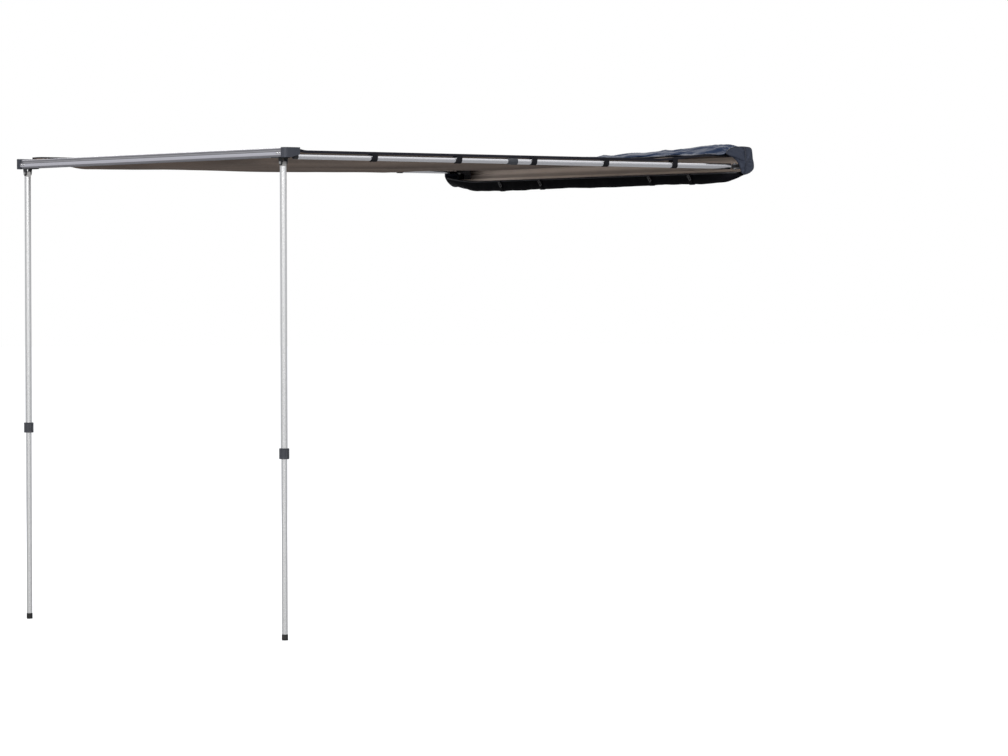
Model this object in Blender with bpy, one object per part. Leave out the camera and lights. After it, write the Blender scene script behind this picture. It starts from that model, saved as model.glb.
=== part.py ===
"""Pull-out side awning for a roof rack, shown open: a wall rail carries two swinging telescopic
arms, a leading beam with two folding telescopic legs, the canopy between them, and the soft
travel cover that the whole thing rolls up into.

Metres, +Z up. The origin is the centre of the rail's flat back face. X runs along the rail, and
the awning reaches out along -Y. The near side is +X, the far side is -X.
"""

import math

import bmesh
import bpy
from mathutils import Matrix, Vector

MM = 0.001
GAP = 0.3 * MM
NEAR, FAR = 1, -1
SIDES = {"near": NEAR, "far": FAR}

# Driving sizes of the whole awning
RAIL_LENGTH = 2.000
RAIL_HEIGHT = 70 * MM
RAIL_DEPTH = 40 * MM
RAIL_WEB = 15 * MM
ARM_SPACING = 1.940
ARM_LEVEL = {"near": -13 * MM, "far": 13 * MM}
PIVOT_Y = -65 * MM
BEAM_OUTER_Y = -2.527
BEAM_DEPTH = 54 * MM
BEAM_HEIGHT = 37 * MM
BEAM_LENGTH = 1.932
BEAM_Z = 3.5 * MM
GROUND_Z = -1.985
LEG_SPACING = 1.830
LEG_LANE = {"near": -2.480, "far": -2.520}
LEG_PIVOT_Z = BEAM_Z - BEAM_HEIGHT / 2 - 22.5 * MM

# Tubes
ARM_OUTER_R = 12.5 * MM
ARM_OUTER_BORE = 11.4 * MM
ARM_INNER_R = 11.0 * MM
ARM_INNER_BORE = 9.9 * MM
LEG_UPPER_R = 14.0 * MM
LEG_UPPER_BORE = 12.8 * MM
LEG_LOWER_R = 12.0 * MM
LEG_LOWER_BORE = 10.8 * MM
TUBE_SIDES = 20
PIN_R = 4.0 * MM
PIN_HOLE_R = 4.35 * MM

# Places along the arms, measured from the pivot, and along the legs, measured from the ground
ARM_TUBE_START = 30 * MM
ARM_TUBE_END = 1.236
ARM_LOCK_LENGTH = 50 * MM
ARM_LOCK_R = 15 * MM
ARM_INNER_START = 1.095
ARM_INNER_END = 2.385
ARM_TIP_END = 2.4055
LEG_LOCK_LOW = {"near": 0.740, "far": 0.815}
LEG_LOCK_LENGTH = 44 * MM
LEG_LOCK_R = 21 * MM
LEG_LOWER_TOP = 1.185
LEG_HEAD_DROP = 14 * MM
LEG_FOOT_HEIGHT = 25 * MM
TIE_STATIONS = (0.357, 0.747, 1.146, 1.552, 1.996)
TIE_WIDTH = 28 * MM

# Soft parts
CLOTH = 1.6 * MM
COVER_CLOTH = 2.5 * MM
CANOPY_HALF = 0.985
COVER_HALF = 1.005
STRAP_STATIONS = (-0.60, -0.31, 0.46, 0.73)
STRAP_WIDTH = 25 * MM

FINISHES = {
    "extrusion": ((0.56, 0.55, 0.58), 0.38, 1.0),
    "tube": ((0.82, 0.82, 0.84), 0.25, 1.0),
    "grey_plastic": ((0.075, 0.077, 0.09), 0.55, 0.0),
    "black_plastic": ((0.03, 0.03, 0.033), 0.5, 0.0),
    "rubber": ((0.025, 0.025, 0.025), 0.8, 0.0),
    "steel": ((0.7, 0.7, 0.7), 0.3, 1.0),
    "canopy_cloth": ((0.23, 0.2, 0.18), 0.85, 0.0),
    "cover_cloth": ((0.012, 0.014, 0.02), 0.4, 0.0),
    "webbing": ((0.02, 0.02, 0.024), 0.9, 0.0),
}


# Small geometry helpers


def smooth(t):
    """Ease from 0 to 1 as t goes from 0 to 1."""
    t = min(max(t, 0.0), 1.0)
    return t * t * (3 - 2 * t)


def mix(a, b, t):
    return a + (b - a) * t


def arc(centre, radius, start, end, count):
    """Points on a circle between two angles in degrees, both ends included."""
    points = []
    for i in range(count + 1):
        angle = math.radians(mix(start, end, i / count))
        points.append((centre[0] + radius * math.cos(angle), centre[1] + radius * math.sin(angle)))
    return points


def rectangle(low_a, high_a, low_b, high_b):
    return [(low_a, low_b), (high_a, low_b), (high_a, high_b), (low_a, high_b)]


def on_plane(plane, a, b, along):
    """A point from two outline coordinates and the distance along the extrusion axis."""
    if plane == "x":
        return (along, a, b)
    if plane == "y":
        return (a, along, b)
    return (a, b, along)


def prism(outline, plane, low, high):
    """An outline in the plane square to an axis, extruded along that axis."""
    bm = bmesh.new()
    corners = [bm.verts.new(on_plane(plane, a, b, low)) for a, b in outline]
    face = bm.faces.new(corners)
    grown = bmesh.ops.extrude_face_region(bm, geom=[face])
    moved = [v for v in grown["geom"] if isinstance(v, bmesh.types.BMVert)]
    shift = Vector(on_plane(plane, 0, 0, high - low))
    bmesh.ops.translate(bm, verts=moved, vec=shift)
    bmesh.ops.recalc_face_normals(bm, faces=bm.faces)
    return bm


def turned(profile, centre, direction, sides=TUBE_SIDES, closed=False):
    """A profile of (radius, distance along the axis) spun round an axis through a centre."""
    bm = bmesh.new()
    axis = Vector(direction)
    side = axis.orthogonal().normalized()
    start = Vector(centre)
    verts = [bm.verts.new(start + side * r + axis * t) for r, t in profile]
    pairs = list(zip(verts, verts[1:]))
    if closed:
        pairs.append((verts[-1], verts[0]))
    edges = [bm.edges.new(pair) for pair in pairs]
    bmesh.ops.spin(
        bm,
        geom=verts + edges,
        cent=start,
        axis=axis,
        angle=2 * math.pi,
        steps=sides,
        use_merge=True,
    )
    bmesh.ops.remove_doubles(bm, verts=bm.verts, dist=0.00001)
    bmesh.ops.recalc_face_normals(bm, faces=bm.faces)
    return bm


def lofted(rings, closed=False):
    """Rings with the same number of points, skinned in order; the ends are capped unless closed."""
    bm = bmesh.new()
    rows = [[bm.verts.new(p) for p in ring] for ring in rings]
    count = len(rows[0])
    pairs = list(zip(rows, rows[1:]))
    if closed:
        pairs.append((rows[-1], rows[0]))
    for first, second in pairs:
        for i in range(count):
            j = (i + 1) % count
            bm.faces.new((first[i], first[j], second[j], second[i]))
    if not closed:
        bm.faces.new(rows[0])
        bm.faces.new(rows[-1])
    bmesh.ops.recalc_face_normals(bm, faces=bm.faces)
    return bm


# Objects, materials and modifiers


def finish_of(name):
    """The finish as a material, made the first time that it is asked for."""
    if name in bpy.data.materials:
        return bpy.data.materials[name]
    colour, roughness, metallic = FINISHES[name]
    material = bpy.data.materials.new(name)
    material.use_nodes = True
    shader = material.node_tree.nodes["Principled BSDF"]
    shader.inputs["Base Color"].default_value = (*colour, 1)
    shader.inputs["Roughness"].default_value = roughness
    shader.inputs["Metallic"].default_value = metallic
    material.diffuse_color = (*colour, 1)
    return material


def add_piece(name, bm, finish, origin=(0, 0, 0), round_piece=False, parent=None):
    """One named piece, its mesh given in world places, its origin where it turns or sits."""
    bmesh.ops.translate(bm, verts=bm.verts, vec=-Vector(origin))
    mesh = bpy.data.meshes.new(name)
    bm.to_mesh(mesh)
    bm.free()
    own = finish_of(finish).copy()
    own.name = name + "_" + finish
    mesh.materials.append(own)
    if round_piece:
        mesh.shade_smooth()
        mesh.set_sharp_from_angle(angle=math.radians(40))
    piece = bpy.data.objects.new(name, mesh)
    bpy.context.scene.collection.objects.link(piece)
    piece.location = origin
    if parent is not None:
        piece.parent = parent
        piece.matrix_parent_inverse = Matrix.Translation(-parent.location)
    return piece


def add_frame(name, origin):
    """An empty on a joint's axis, which carries the pieces that move together."""
    frame = bpy.data.objects.new(name, None)
    frame.empty_display_size = 0.05
    frame.location = origin
    bpy.context.scene.collection.objects.link(frame)
    return frame


def tool_for(piece, bm, operation):
    """A hidden shape that cuts a piece or is joined to it by an exact Boolean."""
    name = "tool_%s_%d" % (piece.name, len(piece.modifiers))
    mesh = bpy.data.meshes.new(name)
    bm.to_mesh(mesh)
    bm.free()
    tool = bpy.data.objects.new(name, mesh)
    tool.hide_render = True
    tool.display_type = "WIRE"
    bpy.context.scene.collection.objects.link(tool)
    boolean = piece.modifiers.new(name, "BOOLEAN")
    boolean.solver = "EXACT"
    boolean.operation = operation
    boolean.object = tool


def cut(piece, bm):
    tool_for(piece, bm, "DIFFERENCE")


def join(piece, bm):
    tool_for(piece, bm, "UNION")


def soften(piece, width, segments=2):
    """Rounded edges where two faces meet at more than forty degrees."""
    bevel = piece.modifiers.new("soft_edges", "BEVEL")
    bevel.width = width
    bevel.segments = segments
    bevel.limit_method = "ANGLE"
    bevel.angle_limit = math.radians(40)


# The rail and what is fixed to it


def bead_groove(centre, radius, slot_half, outward):
    """A round groove for a beaded cloth edge, from one lip of its slot round to the other."""
    lip = math.degrees(math.asin(slot_half / radius))
    start = 0 if outward > 0 else 180
    return arc(centre, radius, start + lip, start + 360 - lip, 10)


RAIL_BEAD = (-29 * MM, 30 * MM)
BEAM_BEAD = (BEAM_OUTER_Y + 49.5 * MM, BEAM_Z + 12.5 * MM)
BEAD_R = 2.7 * MM
GROOVE_R = 3.4 * MM
SLOT_HALF = 1.3 * MM
TRACK_Z = 19 * MM
TRACK_SLOT_HALF = 4.5 * MM
TRACK_HALF = 8.5 * MM
TRACK_LIP = 2.5 * MM
TRACK_DEPTH = 10.5 * MM


def bolt_track(z):
    """The undercut track in the rail's back that takes a bolt's head, from its low lip upwards."""
    return [
        (0, z - TRACK_SLOT_HALF),
        (-TRACK_LIP, z - TRACK_SLOT_HALF),
        (-TRACK_LIP, z - TRACK_HALF),
        (-TRACK_DEPTH, z - TRACK_HALF),
        (-TRACK_DEPTH, z + TRACK_HALF),
        (-TRACK_LIP, z + TRACK_HALF),
        (-TRACK_LIP, z + TRACK_SLOT_HALF),
        (0, z + TRACK_SLOT_HALF),
    ]


def rail_outline():
    """The rail's section: two bolt tracks behind, a bead groove at the top, a lipped shelf below."""
    half = RAIL_HEIGHT / 2
    wall = 3 * MM
    block_front = -34 * MM
    block_back = -24 * MM
    block_low = 25 * MM
    lip_top = -half + 10 * MM
    channel_half = 6.5 * MM
    channel_floor = -4 * MM
    outline = [(0, half), (block_front, half), (block_front, RAIL_BEAD[1] + SLOT_HALF)]
    outline += list(reversed(bead_groove(RAIL_BEAD, GROOVE_R, SLOT_HALF, -1)))
    outline += [
        (block_front, RAIL_BEAD[1] - SLOT_HALF),
        (block_front, block_low),
        (block_back, block_low),
        (block_back, half - wall),
        (-RAIL_WEB, half - wall),
        (-RAIL_WEB, channel_half),
        (channel_floor, channel_half),
        (channel_floor, -channel_half),
        (-RAIL_WEB, -channel_half),
        (-RAIL_WEB, -half + wall),
        (-RAIL_DEPTH + wall, -half + wall),
        (-RAIL_DEPTH + wall, lip_top),
        (-RAIL_DEPTH, lip_top),
        (-RAIL_DEPTH, -half),
        (0, -half),
    ]
    outline += bolt_track(-TRACK_Z)
    outline += bolt_track(TRACK_Z)
    return outline


def add_rail():
    half = RAIL_LENGTH / 2
    add_piece("base_rail", prism(rail_outline(), "x", -half, half), "extrusion")
    thickness = 4 * MM
    for side, sign in SIDES.items():
        inner = half + GAP
        low, high = sorted((sign * inner, sign * (inner + thickness - GAP)))
        outline = rectangle(-RAIL_DEPTH, 0, -RAIL_HEIGHT / 2, RAIL_HEIGHT / 2)
        cap = add_piece("rail_end_cap_" + side, prism(outline, "x", low, high), "black_plastic")
        soften(cap, 1.2 * MM)


BRACKET_HALF_GAP = 6.4 * MM
BRACKET_PLATE = 4 * MM
BRACKET_NOSE = 11 * MM


def pivot_x(side):
    return SIDES[side] * ARM_SPACING / 2


def add_pivot_bracket(side):
    """A cast clevis on the rail's web; its two ears hold the arm's eye on an upright bolt."""
    x = pivot_x(side)
    z = ARM_LEVEL[side]
    ear = BRACKET_HALF_GAP + BRACKET_PLATE
    foot_half = 22 * MM
    foot_back = -RAIL_WEB - GAP
    foot_front = foot_back - 5 * MM
    outline = [(x - foot_half, foot_front + 1 * MM), (x - foot_half, foot_front - 4 * MM)]
    outline += arc((x, PIVOT_Y), BRACKET_NOSE, 180 + 12, 360 - 12, 12)
    outline += [(x + foot_half, foot_front - 4 * MM), (x + foot_half, foot_front + 1 * MM)]
    bracket = add_piece(
        "pivot_bracket_" + side, prism(outline, "z", z - ear, z + ear), "grey_plastic"
    )
    slot = rectangle(x - 60 * MM, x + 60 * MM, -90 * MM, -38 * MM)
    cut(bracket, prism(slot, "z", z - BRACKET_HALF_GAP, z + BRACKET_HALF_GAP))
    foot = rectangle(x - foot_half - 2 * MM, x + foot_half + 2 * MM, foot_front, foot_back)
    join(bracket, prism(foot, "z", -30 * MM, 24 * MM))
    hole = turned(
        [(0, 0), (PIN_HOLE_R, 0), (PIN_HOLE_R, 60 * MM), (0, 60 * MM)],
        (x, PIVOT_Y, z - 30 * MM),
        (0, 0, 1),
        16,
    )
    cut(bracket, hole)


def add_pivot_bolt(side):
    """The upright bolt through the clevis, with a low domed head and a nut below."""
    ear = BRACKET_HALF_GAP + BRACKET_PLATE
    head = 3.6 * MM
    reach = 2 * ear + 2 * GAP
    profile = [
        (0, -head),
        (6.5 * MM, -head),
        (7 * MM, -head + 0.6 * MM),
        (7 * MM, 0),
        (PIN_R, 0),
        (PIN_R, reach),
        (7.5 * MM, reach),
        (7.5 * MM, reach + 1.6 * MM),
        (5 * MM, reach + head),
        (0, reach + head),
    ]
    base = (pivot_x(side), PIVOT_Y, ARM_LEVEL[side] - ear - GAP)
    bolt = turned(profile, base, (0, 0, 1), 16)
    add_piece("pivot_bolt_" + side, bolt, "steel", base, True)


RACK_BRACKET_X = 0.55
RACK_PLATE = 5 * MM
RACK_FOOT = 78 * MM


def add_rack_brackets():
    """Steel angle brackets behind the rail: bolted to its tracks, slotted to sit on a rack bar."""
    half_width = 30 * MM
    back = RAIL_HEIGHT / 2
    for side, sign in SIDES.items():
        x = sign * RACK_BRACKET_X
        inner = GAP
        outline = [(inner, -back), (RACK_FOOT, -back), (RACK_FOOT, -back + RACK_PLATE)]
        outline += arc((inner + 10 * MM, -back + 10 * MM), RACK_PLATE, 270, 180, 4)
        outline += [(inner + RACK_PLATE, back), (inner, back)]
        bracket = add_piece(
            "rack_bracket_" + side,
            prism(outline, "x", x - half_width, x + half_width),
            "steel",
        )
        for offset in (-14 * MM, 14 * MM):
            ends = arc((x + offset, 62 * MM), 4.5 * MM, 0, 180, 6)
            ends += arc((x + offset, 32 * MM), 4.5 * MM, 180, 360, 6)
            cut(bracket, prism(ends, "z", -back - 5 * MM, -back + 2 * RACK_PLATE))
        for level, z in (("low", -TRACK_Z), ("high", TRACK_Z)):
            hole = turned(
                [(0, 0), (PIN_HOLE_R, 0), (PIN_HOLE_R, 20 * MM), (0, 20 * MM)],
                (x, -5 * MM, z),
                (0, 1, 0),
                16,
            )
            cut(bracket, hole)
            add_rack_bolt("rack_bolt_%s_%s" % (side, level), x, z)


def add_rack_bolt(name, x, z):
    """A carriage bolt whose head runs in the rail's track, with its nut behind the bracket."""
    head_front = -TRACK_LIP - GAP
    head = 4.5 * MM
    nut_start = GAP + RACK_PLATE + GAP
    nut = 6.5 * MM
    profile = [
        (0, head_front - head),
        (7 * MM, head_front - head),
        (7 * MM, head_front),
        (PIN_R, head_front),
        (PIN_R, nut_start),
        (7.2 * MM, nut_start),
        (7.2 * MM, nut_start + nut),
        (PIN_R, nut_start + nut),
        (PIN_R, nut_start + nut + 4 * MM),
        (0, nut_start + nut + 4 * MM),
    ]
    add_piece(name, turned(profile, (x, 0, z), (0, 1, 0), 12), "steel", (x, 0, z), True)


# The leading beam, its corners and the leg hinges


BEAM_WALL = 3 * MM
BEAM_BLOCK = 11 * MM
BEAM_LIP = 14 * MM


def beam_outline():
    """The beam's section: a front rib between a set-back brow and an undercut skirt, a bead groove
    at the back, and an open track below."""
    outer = BEAM_OUTER_Y
    inner = outer + BEAM_DEPTH
    wall = BEAM_WALL
    step = 4 * MM
    undercut = 4 * MM
    corner = 6 * MM
    top = BEAM_Z + BEAM_HEIGHT / 2
    low = BEAM_Z - BEAM_HEIGHT / 2
    ledge = BEAM_Z + 5 * MM
    rim = BEAM_Z - 11.5 * MM
    rounded = (outer + step + corner, top - corner)
    skirt = outer + undercut
    outline = [(skirt, low), (skirt, rim), (outer, rim), (outer, ledge)]
    outline += [(outer + step, ledge + step)]
    outline += arc(rounded, corner, 180, 90, 4)
    outline += [(inner, top), (inner, BEAM_BEAD[1] + SLOT_HALF)]
    outline += bead_groove(BEAM_BEAD, GROOVE_R, SLOT_HALF, 1)
    outline += [
        (inner, BEAM_BEAD[1] - SLOT_HALF),
        (inner, low),
        (inner - BEAM_LIP, low),
        (inner - BEAM_LIP, low + wall),
        (inner - wall, low + wall),
        (inner - wall, top - BEAM_BLOCK),
        (inner - BEAM_BLOCK, top - BEAM_BLOCK),
        (inner - BEAM_BLOCK, top - wall),
    ]
    outline += arc(rounded, corner - wall, 90, 180, 3)
    outline += [
        (outer + step + wall, ledge + step - 1 * MM),
        (outer + wall, ledge - 1 * MM),
        (outer + wall, rim + wall),
        (skirt + wall, rim + wall),
        (skirt + wall, low + wall),
        (outer + BEAM_LIP, low + wall),
        (outer + BEAM_LIP, low),
    ]
    return outline


CORNER_OUTER_X = ARM_SPACING / 2 + 25 * MM
CORNER_OUTER_Y = BEAM_OUTER_Y - 4 * MM
CORNER_ROUND = 16 * MM
CORNER_WALL = 3 * MM
HOOD_X = ARM_SPACING / 2 - 20 * MM
HOOD_Y = -2.452


def mirrored(sign, outline):
    return [(sign * x, y) for x, y in outline]


def cap_outline(inset, inner_x, high_y):
    """The cap over the beam's end from above, its outer corner rounded, with walls moved inwards."""
    centre = (CORNER_OUTER_X - CORNER_ROUND, CORNER_OUTER_Y + CORNER_ROUND)
    outline = [(inner_x, CORNER_OUTER_Y + inset)]
    outline += arc(centre, CORNER_ROUND - inset, 270, 360, 6)
    outline += [(CORNER_OUTER_X - inset, high_y)]
    return outline


CORNER_TOP = {"near": 24 * MM, "far": 27 * MM}
CORNER_LOW = -17.5 * MM
CORNER_PLUG = 40 * MM
HOOD_LOW = -5 * MM
FAR_BELOW = -60 * MM


def add_corner(side, parent):
    """A moulded corner that caps the beam, hollow from below, with a plug inside the beam and an
    open-sided hood that holds the arm's tip."""
    sign = SIDES[side]
    level = ARM_LEVEL[side]
    top = CORNER_TOP[side]
    arm_x = ARM_SPACING / 2
    beam_end = BEAM_LENGTH / 2
    inner_y = BEAM_OUTER_Y + BEAM_DEPTH + GAP
    outline = cap_outline(0, beam_end + GAP, HOOD_Y)
    outline.append((beam_end + GAP, HOOD_Y))
    corner = add_piece(
        "beam_corner_" + side,
        prism(mirrored(sign, outline), "z", CORNER_LOW, top),
        "grey_plastic",
        parent=parent,
    )
    soften(corner, 1.6 * MM)
    inset = 0.6 * MM
    low_x, high_x = sorted((sign * HOOD_X, sign * (beam_end + CORNER_WALL)))
    hood = rectangle(low_x, high_x, inner_y, HOOD_Y - inset)
    join(corner, prism(hood, "z", CORNER_LOW + inset, top - inset))
    tip_wall = PIVOT_Y - ARM_TIP_END - 1.2 * MM
    hollow = cap_outline(CORNER_WALL, beam_end + CORNER_WALL, tip_wall - CORNER_WALL)
    hollow.append((beam_end + CORNER_WALL, tip_wall - CORNER_WALL))
    cut(corner, prism(mirrored(sign, hollow), "z", FAR_BELOW, top - CORNER_WALL))
    slant_start = tip_wall - 33 * MM
    slant = [
        (slant_start, CORNER_LOW - 1 * MM),
        (HOOD_Y + 1 * MM, HOOD_LOW),
        (HOOD_Y + 1 * MM, FAR_BELOW),
        (slant_start, FAR_BELOW),
    ]
    low_x, high_x = sorted((sign * (HOOD_X - 5 * MM), sign * (CORNER_OUTER_X + 5 * MM)))
    cut(corner, prism(slant, "x", low_x, high_x))
    low_x, high_x = sorted((sign * (beam_end - CORNER_PLUG), sign * (beam_end + 2 * MM)))
    fit = 0.5 * MM
    plug_top = BEAM_Z + BEAM_HEIGHT / 2 - BEAM_WALL - fit
    plug_low = BEAM_Z - BEAM_HEIGHT / 2 + BEAM_WALL + fit
    plug_out = BEAM_OUTER_Y + 7 * MM + fit
    plug_in = BEAM_OUTER_Y + BEAM_DEPTH - BEAM_BLOCK - fit
    plug = [(plug_out, plug_low), (plug_in, plug_low), (plug_in, plug_top)]
    plug += [(plug_out + 3 * MM, plug_top), (plug_out, plug_top - 3 * MM)]
    join(corner, prism(plug, "x", low_x, high_x))
    pocket = rectangle(tip_wall, HOOD_Y + 40 * MM, FAR_BELOW, level + ARM_INNER_R + 0.6 * MM)
    low_x, high_x = sorted((sign * (arm_x - 40 * MM), sign * (arm_x + 13 * MM)))
    cut(corner, prism(pocket, "x", low_x, high_x))
    spigot_y = PIVOT_Y - ARM_TIP_END + SPIGOT_SETBACK
    room = SPIGOT_R + 1 * MM
    notch = [(arm_x - 40 * MM, spigot_y - room), (arm_x - 40 * MM, spigot_y + room)]
    notch += arc((arm_x, spigot_y), room, 90, -90, 8)
    cut(corner, prism(mirrored(sign, notch), "z", level, spigot_top(side) + 1.5 * MM))


SPIGOT_SETBACK = 11 * MM
SPIGOT_R = 4 * MM


def spigot_top(side):
    return ARM_LEVEL[side] + (13.6 * MM if side == "far" else 21 * MM)


def leg_x(side):
    return SIDES[side] * LEG_SPACING / 2


EAR_HALF_GAP = 10.4 * MM
EAR_PLATE = 4 * MM
EAR_TOP_HALF = 14 * MM
EAR_NOSE = 10.5 * MM
LEG_PLATE_HALF = 24 * MM


def add_leg_bracket(side, parent):
    """A hanging clevis under the beam; its wedge-shaped ears hold the top of the leg."""
    x = leg_x(side)
    lane = LEG_LANE[side]
    top = BEAM_Z - BEAM_HEIGHT / 2 - GAP
    plate_low = top - 3 * MM
    ear_out = EAR_HALF_GAP + EAR_PLATE
    outline = [(x - EAR_TOP_HALF, plate_low + 1 * MM)]
    outline += arc((x, LEG_PIVOT_Z), EAR_NOSE, 190, 350, 10)
    outline += [(x + EAR_TOP_HALF, plate_low + 1 * MM)]
    bracket = add_piece(
        "leg_bracket_" + side,
        prism(outline, "y", lane - ear_out, lane + ear_out),
        "black_plastic",
        parent=parent,
    )
    slot = rectangle(x - 40 * MM, x + 40 * MM, -90 * MM, plate_low)
    cut(bracket, prism(slot, "y", lane - EAR_HALF_GAP, lane + EAR_HALF_GAP))
    beam_mid = BEAM_OUTER_Y + BEAM_DEPTH / 2
    low_y = min(beam_mid - LEG_PLATE_HALF, lane - ear_out - 2 * MM)
    high_y = max(beam_mid + LEG_PLATE_HALF, lane + ear_out + 2 * MM)
    base = rectangle(x - LEG_PLATE_HALF, x + LEG_PLATE_HALF, plate_low, top)
    join(bracket, prism(base, "y", low_y, high_y))
    hole = turned(
        [(0, 0), (PIN_HOLE_R, 0), (PIN_HOLE_R, 60 * MM), (0, 60 * MM)],
        (x, lane - 30 * MM, LEG_PIVOT_Z),
        (0, 1, 0),
        16,
    )
    cut(bracket, hole)
    head = 2.5 * MM
    reach = 2 * ear_out + 2 * GAP
    profile = [
        (0, -head),
        (6 * MM, -head),
        (6 * MM, 0),
        (PIN_R, 0),
        (PIN_R, reach),
        (6 * MM, reach),
        (6 * MM, reach + head),
        (0, reach + head),
    ]
    base = (x, lane - ear_out - GAP, LEG_PIVOT_Z)
    pin = turned(profile, base, (0, 1, 0), 16)
    add_piece("leg_hinge_pin_" + side, pin, "steel", base, True, parent)


def add_beam():
    beam_frame = add_frame("beam_frame", (0, BEAM_OUTER_Y + BEAM_DEPTH / 2, BEAM_Z))
    half = BEAM_LENGTH / 2
    add_piece(
        "leading_beam",
        prism(beam_outline(), "x", -half, half),
        "extrusion",
        parent=beam_frame,
    )
    for side in SIDES:
        add_corner(side, beam_frame)
        add_leg_bracket(side, beam_frame)
    return beam_frame


# Tubes, twist locks and fittings


def tube(centre, direction, outer, bore, start, end, sides=TUBE_SIDES):
    profile = [(bore, start), (outer, start), (outer, end), (bore, end)]
    return turned(profile, centre, direction, sides, True)


ARM_LOCK_FORM = (
    (0.00, 0.90, 0),
    (0.04, 1.00, 1),
    (0.60, 1.00, 1),
    (0.68, 0.55, 0),
    (0.94, 0.55, 0),
    (1.00, 0.30, 0),
)
LEG_LOCK_FORM = (
    (0.00, 0.80, 0),
    (0.05, 1.00, 0),
    (0.14, 1.00, 1),
    (0.84, 1.00, 1),
    (0.95, 1.00, 0),
    (1.00, 0.80, 0),
)


def twist_lock(centre, direction, bore, radius, start, length, ribs, form):
    """A twist-lock ring with gripping ribs round its body.

    Its form gives, at shares of its length, how far out it stands and whether it is ribbed.
    """
    axis = Vector(direction)
    side = axis.orthogonal().normalized()
    across = axis.cross(side)
    rib = 1.3 * MM
    levels = [(share, mix(bore, radius, out), rib * ribbed) for share, out, ribbed in form]
    levels += [(1.0, bore, 0), (0.0, bore, 0)]
    rings = []
    for share, ring_radius, depth in levels:
        ring = []
        for i in range(2 * ribs):
            angle = math.pi * i / ribs
            r = ring_radius - depth * (i % 2)
            point = side * (r * math.cos(angle)) + across * (r * math.sin(angle))
            ring.append(Vector(centre) + point + axis * (start + share * length))
        rings.append(ring)
    return lofted(rings, closed=True)


def arm_direction():
    return (0, -1, 0)


def add_arm(side):
    """A telescopic arm: eye, outer tube, twist lock, inner tube and its tip with an upright spigot."""
    origin = (pivot_x(side), PIVOT_Y, ARM_LEVEL[side])
    out = arm_direction()
    swing = add_frame("rafter_%s_frame" % side, origin)
    slide = add_frame("rafter_%s_inner_frame" % side, origin)
    slide.parent = swing
    slide.matrix_parent_inverse = Matrix.Translation(-swing.location)
    add_arm_eye(side, origin, swing)
    outer = tube(origin, out, ARM_OUTER_R, ARM_OUTER_BORE, ARM_TUBE_START, ARM_TUBE_END)
    add_piece("rafter_%s_outer_tube" % side, outer, "tube", origin, True, swing)
    lock_start = ARM_TUBE_END + GAP
    lock = twist_lock(
        origin, out, ARM_INNER_R + GAP, ARM_LOCK_R, lock_start, ARM_LOCK_LENGTH, 12, ARM_LOCK_FORM
    )
    add_piece("rafter_%s_twist_lock" % side, lock, "black_plastic", origin, False, swing)
    inner = tube(origin, out, ARM_INNER_R, ARM_INNER_BORE, ARM_INNER_START, ARM_INNER_END)
    add_piece("rafter_%s_inner_tube" % side, inner, "tube", origin, True, slide)
    add_arm_tip(side, origin, slide)


def add_arm_eye(side, origin, parent):
    """The moulded eye that turns on the pivot bolt, with a plug in the tube's end."""
    x, y, z = origin
    half = BRACKET_HALF_GAP - 0.4 * MM
    shoulder = ARM_TUBE_START - GAP
    outline = arc((x, y), 10.5 * MM, 180, 0, 12)
    outline += [(x + 9 * MM, y - shoulder + 2 * MM), (x - 9 * MM, y - shoulder + 2 * MM)]
    eye = add_piece(
        "rafter_%s_eye" % side,
        prism(outline, "z", z - half, z + half),
        "black_plastic",
        origin,
        parent=parent,
    )
    plug = [
        (0, shoulder - 4 * MM),
        (10 * MM, shoulder - 4 * MM),
        (ARM_OUTER_R, shoulder - 2 * MM),
        (ARM_OUTER_R, shoulder),
        (ARM_OUTER_BORE - GAP, shoulder),
        (ARM_OUTER_BORE - GAP, shoulder + 22 * MM),
        (0, shoulder + 22 * MM),
    ]
    join(eye, turned(plug, origin, arm_direction()))
    hole = turned(
        [(0, -20 * MM), (PIN_HOLE_R, -20 * MM), (PIN_HOLE_R, 20 * MM), (0, 20 * MM)],
        origin,
        (0, 0, 1),
        16,
    )
    cut(eye, hole)


def add_arm_tip(side, origin, parent):
    """The tip plug of the inner tube, with the spigot that hooks up under the beam's corner."""
    start = ARM_INNER_END + GAP
    end = ARM_TIP_END
    profile = [
        (0, start - 24 * MM),
        (ARM_INNER_BORE - GAP, start - 24 * MM),
        (ARM_INNER_BORE - GAP, start),
        (ARM_INNER_R, start),
        (ARM_INNER_R, end - 2 * MM),
        (ARM_INNER_R - 2 * MM, end),
        (0, end),
    ]
    tip = add_piece(
        "rafter_%s_tip" % side,
        turned(profile, origin, arm_direction()),
        "black_plastic",
        origin,
        True,
        parent,
    )
    x, y, z = origin
    spigot = turned(
        [(0, 0), (SPIGOT_R, 0), (SPIGOT_R, spigot_top(side) - z), (0, spigot_top(side) - z)],
        (x, y - end + SPIGOT_SETBACK, z),
        (0, 0, 1),
        16,
    )
    join(tip, spigot)


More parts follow.
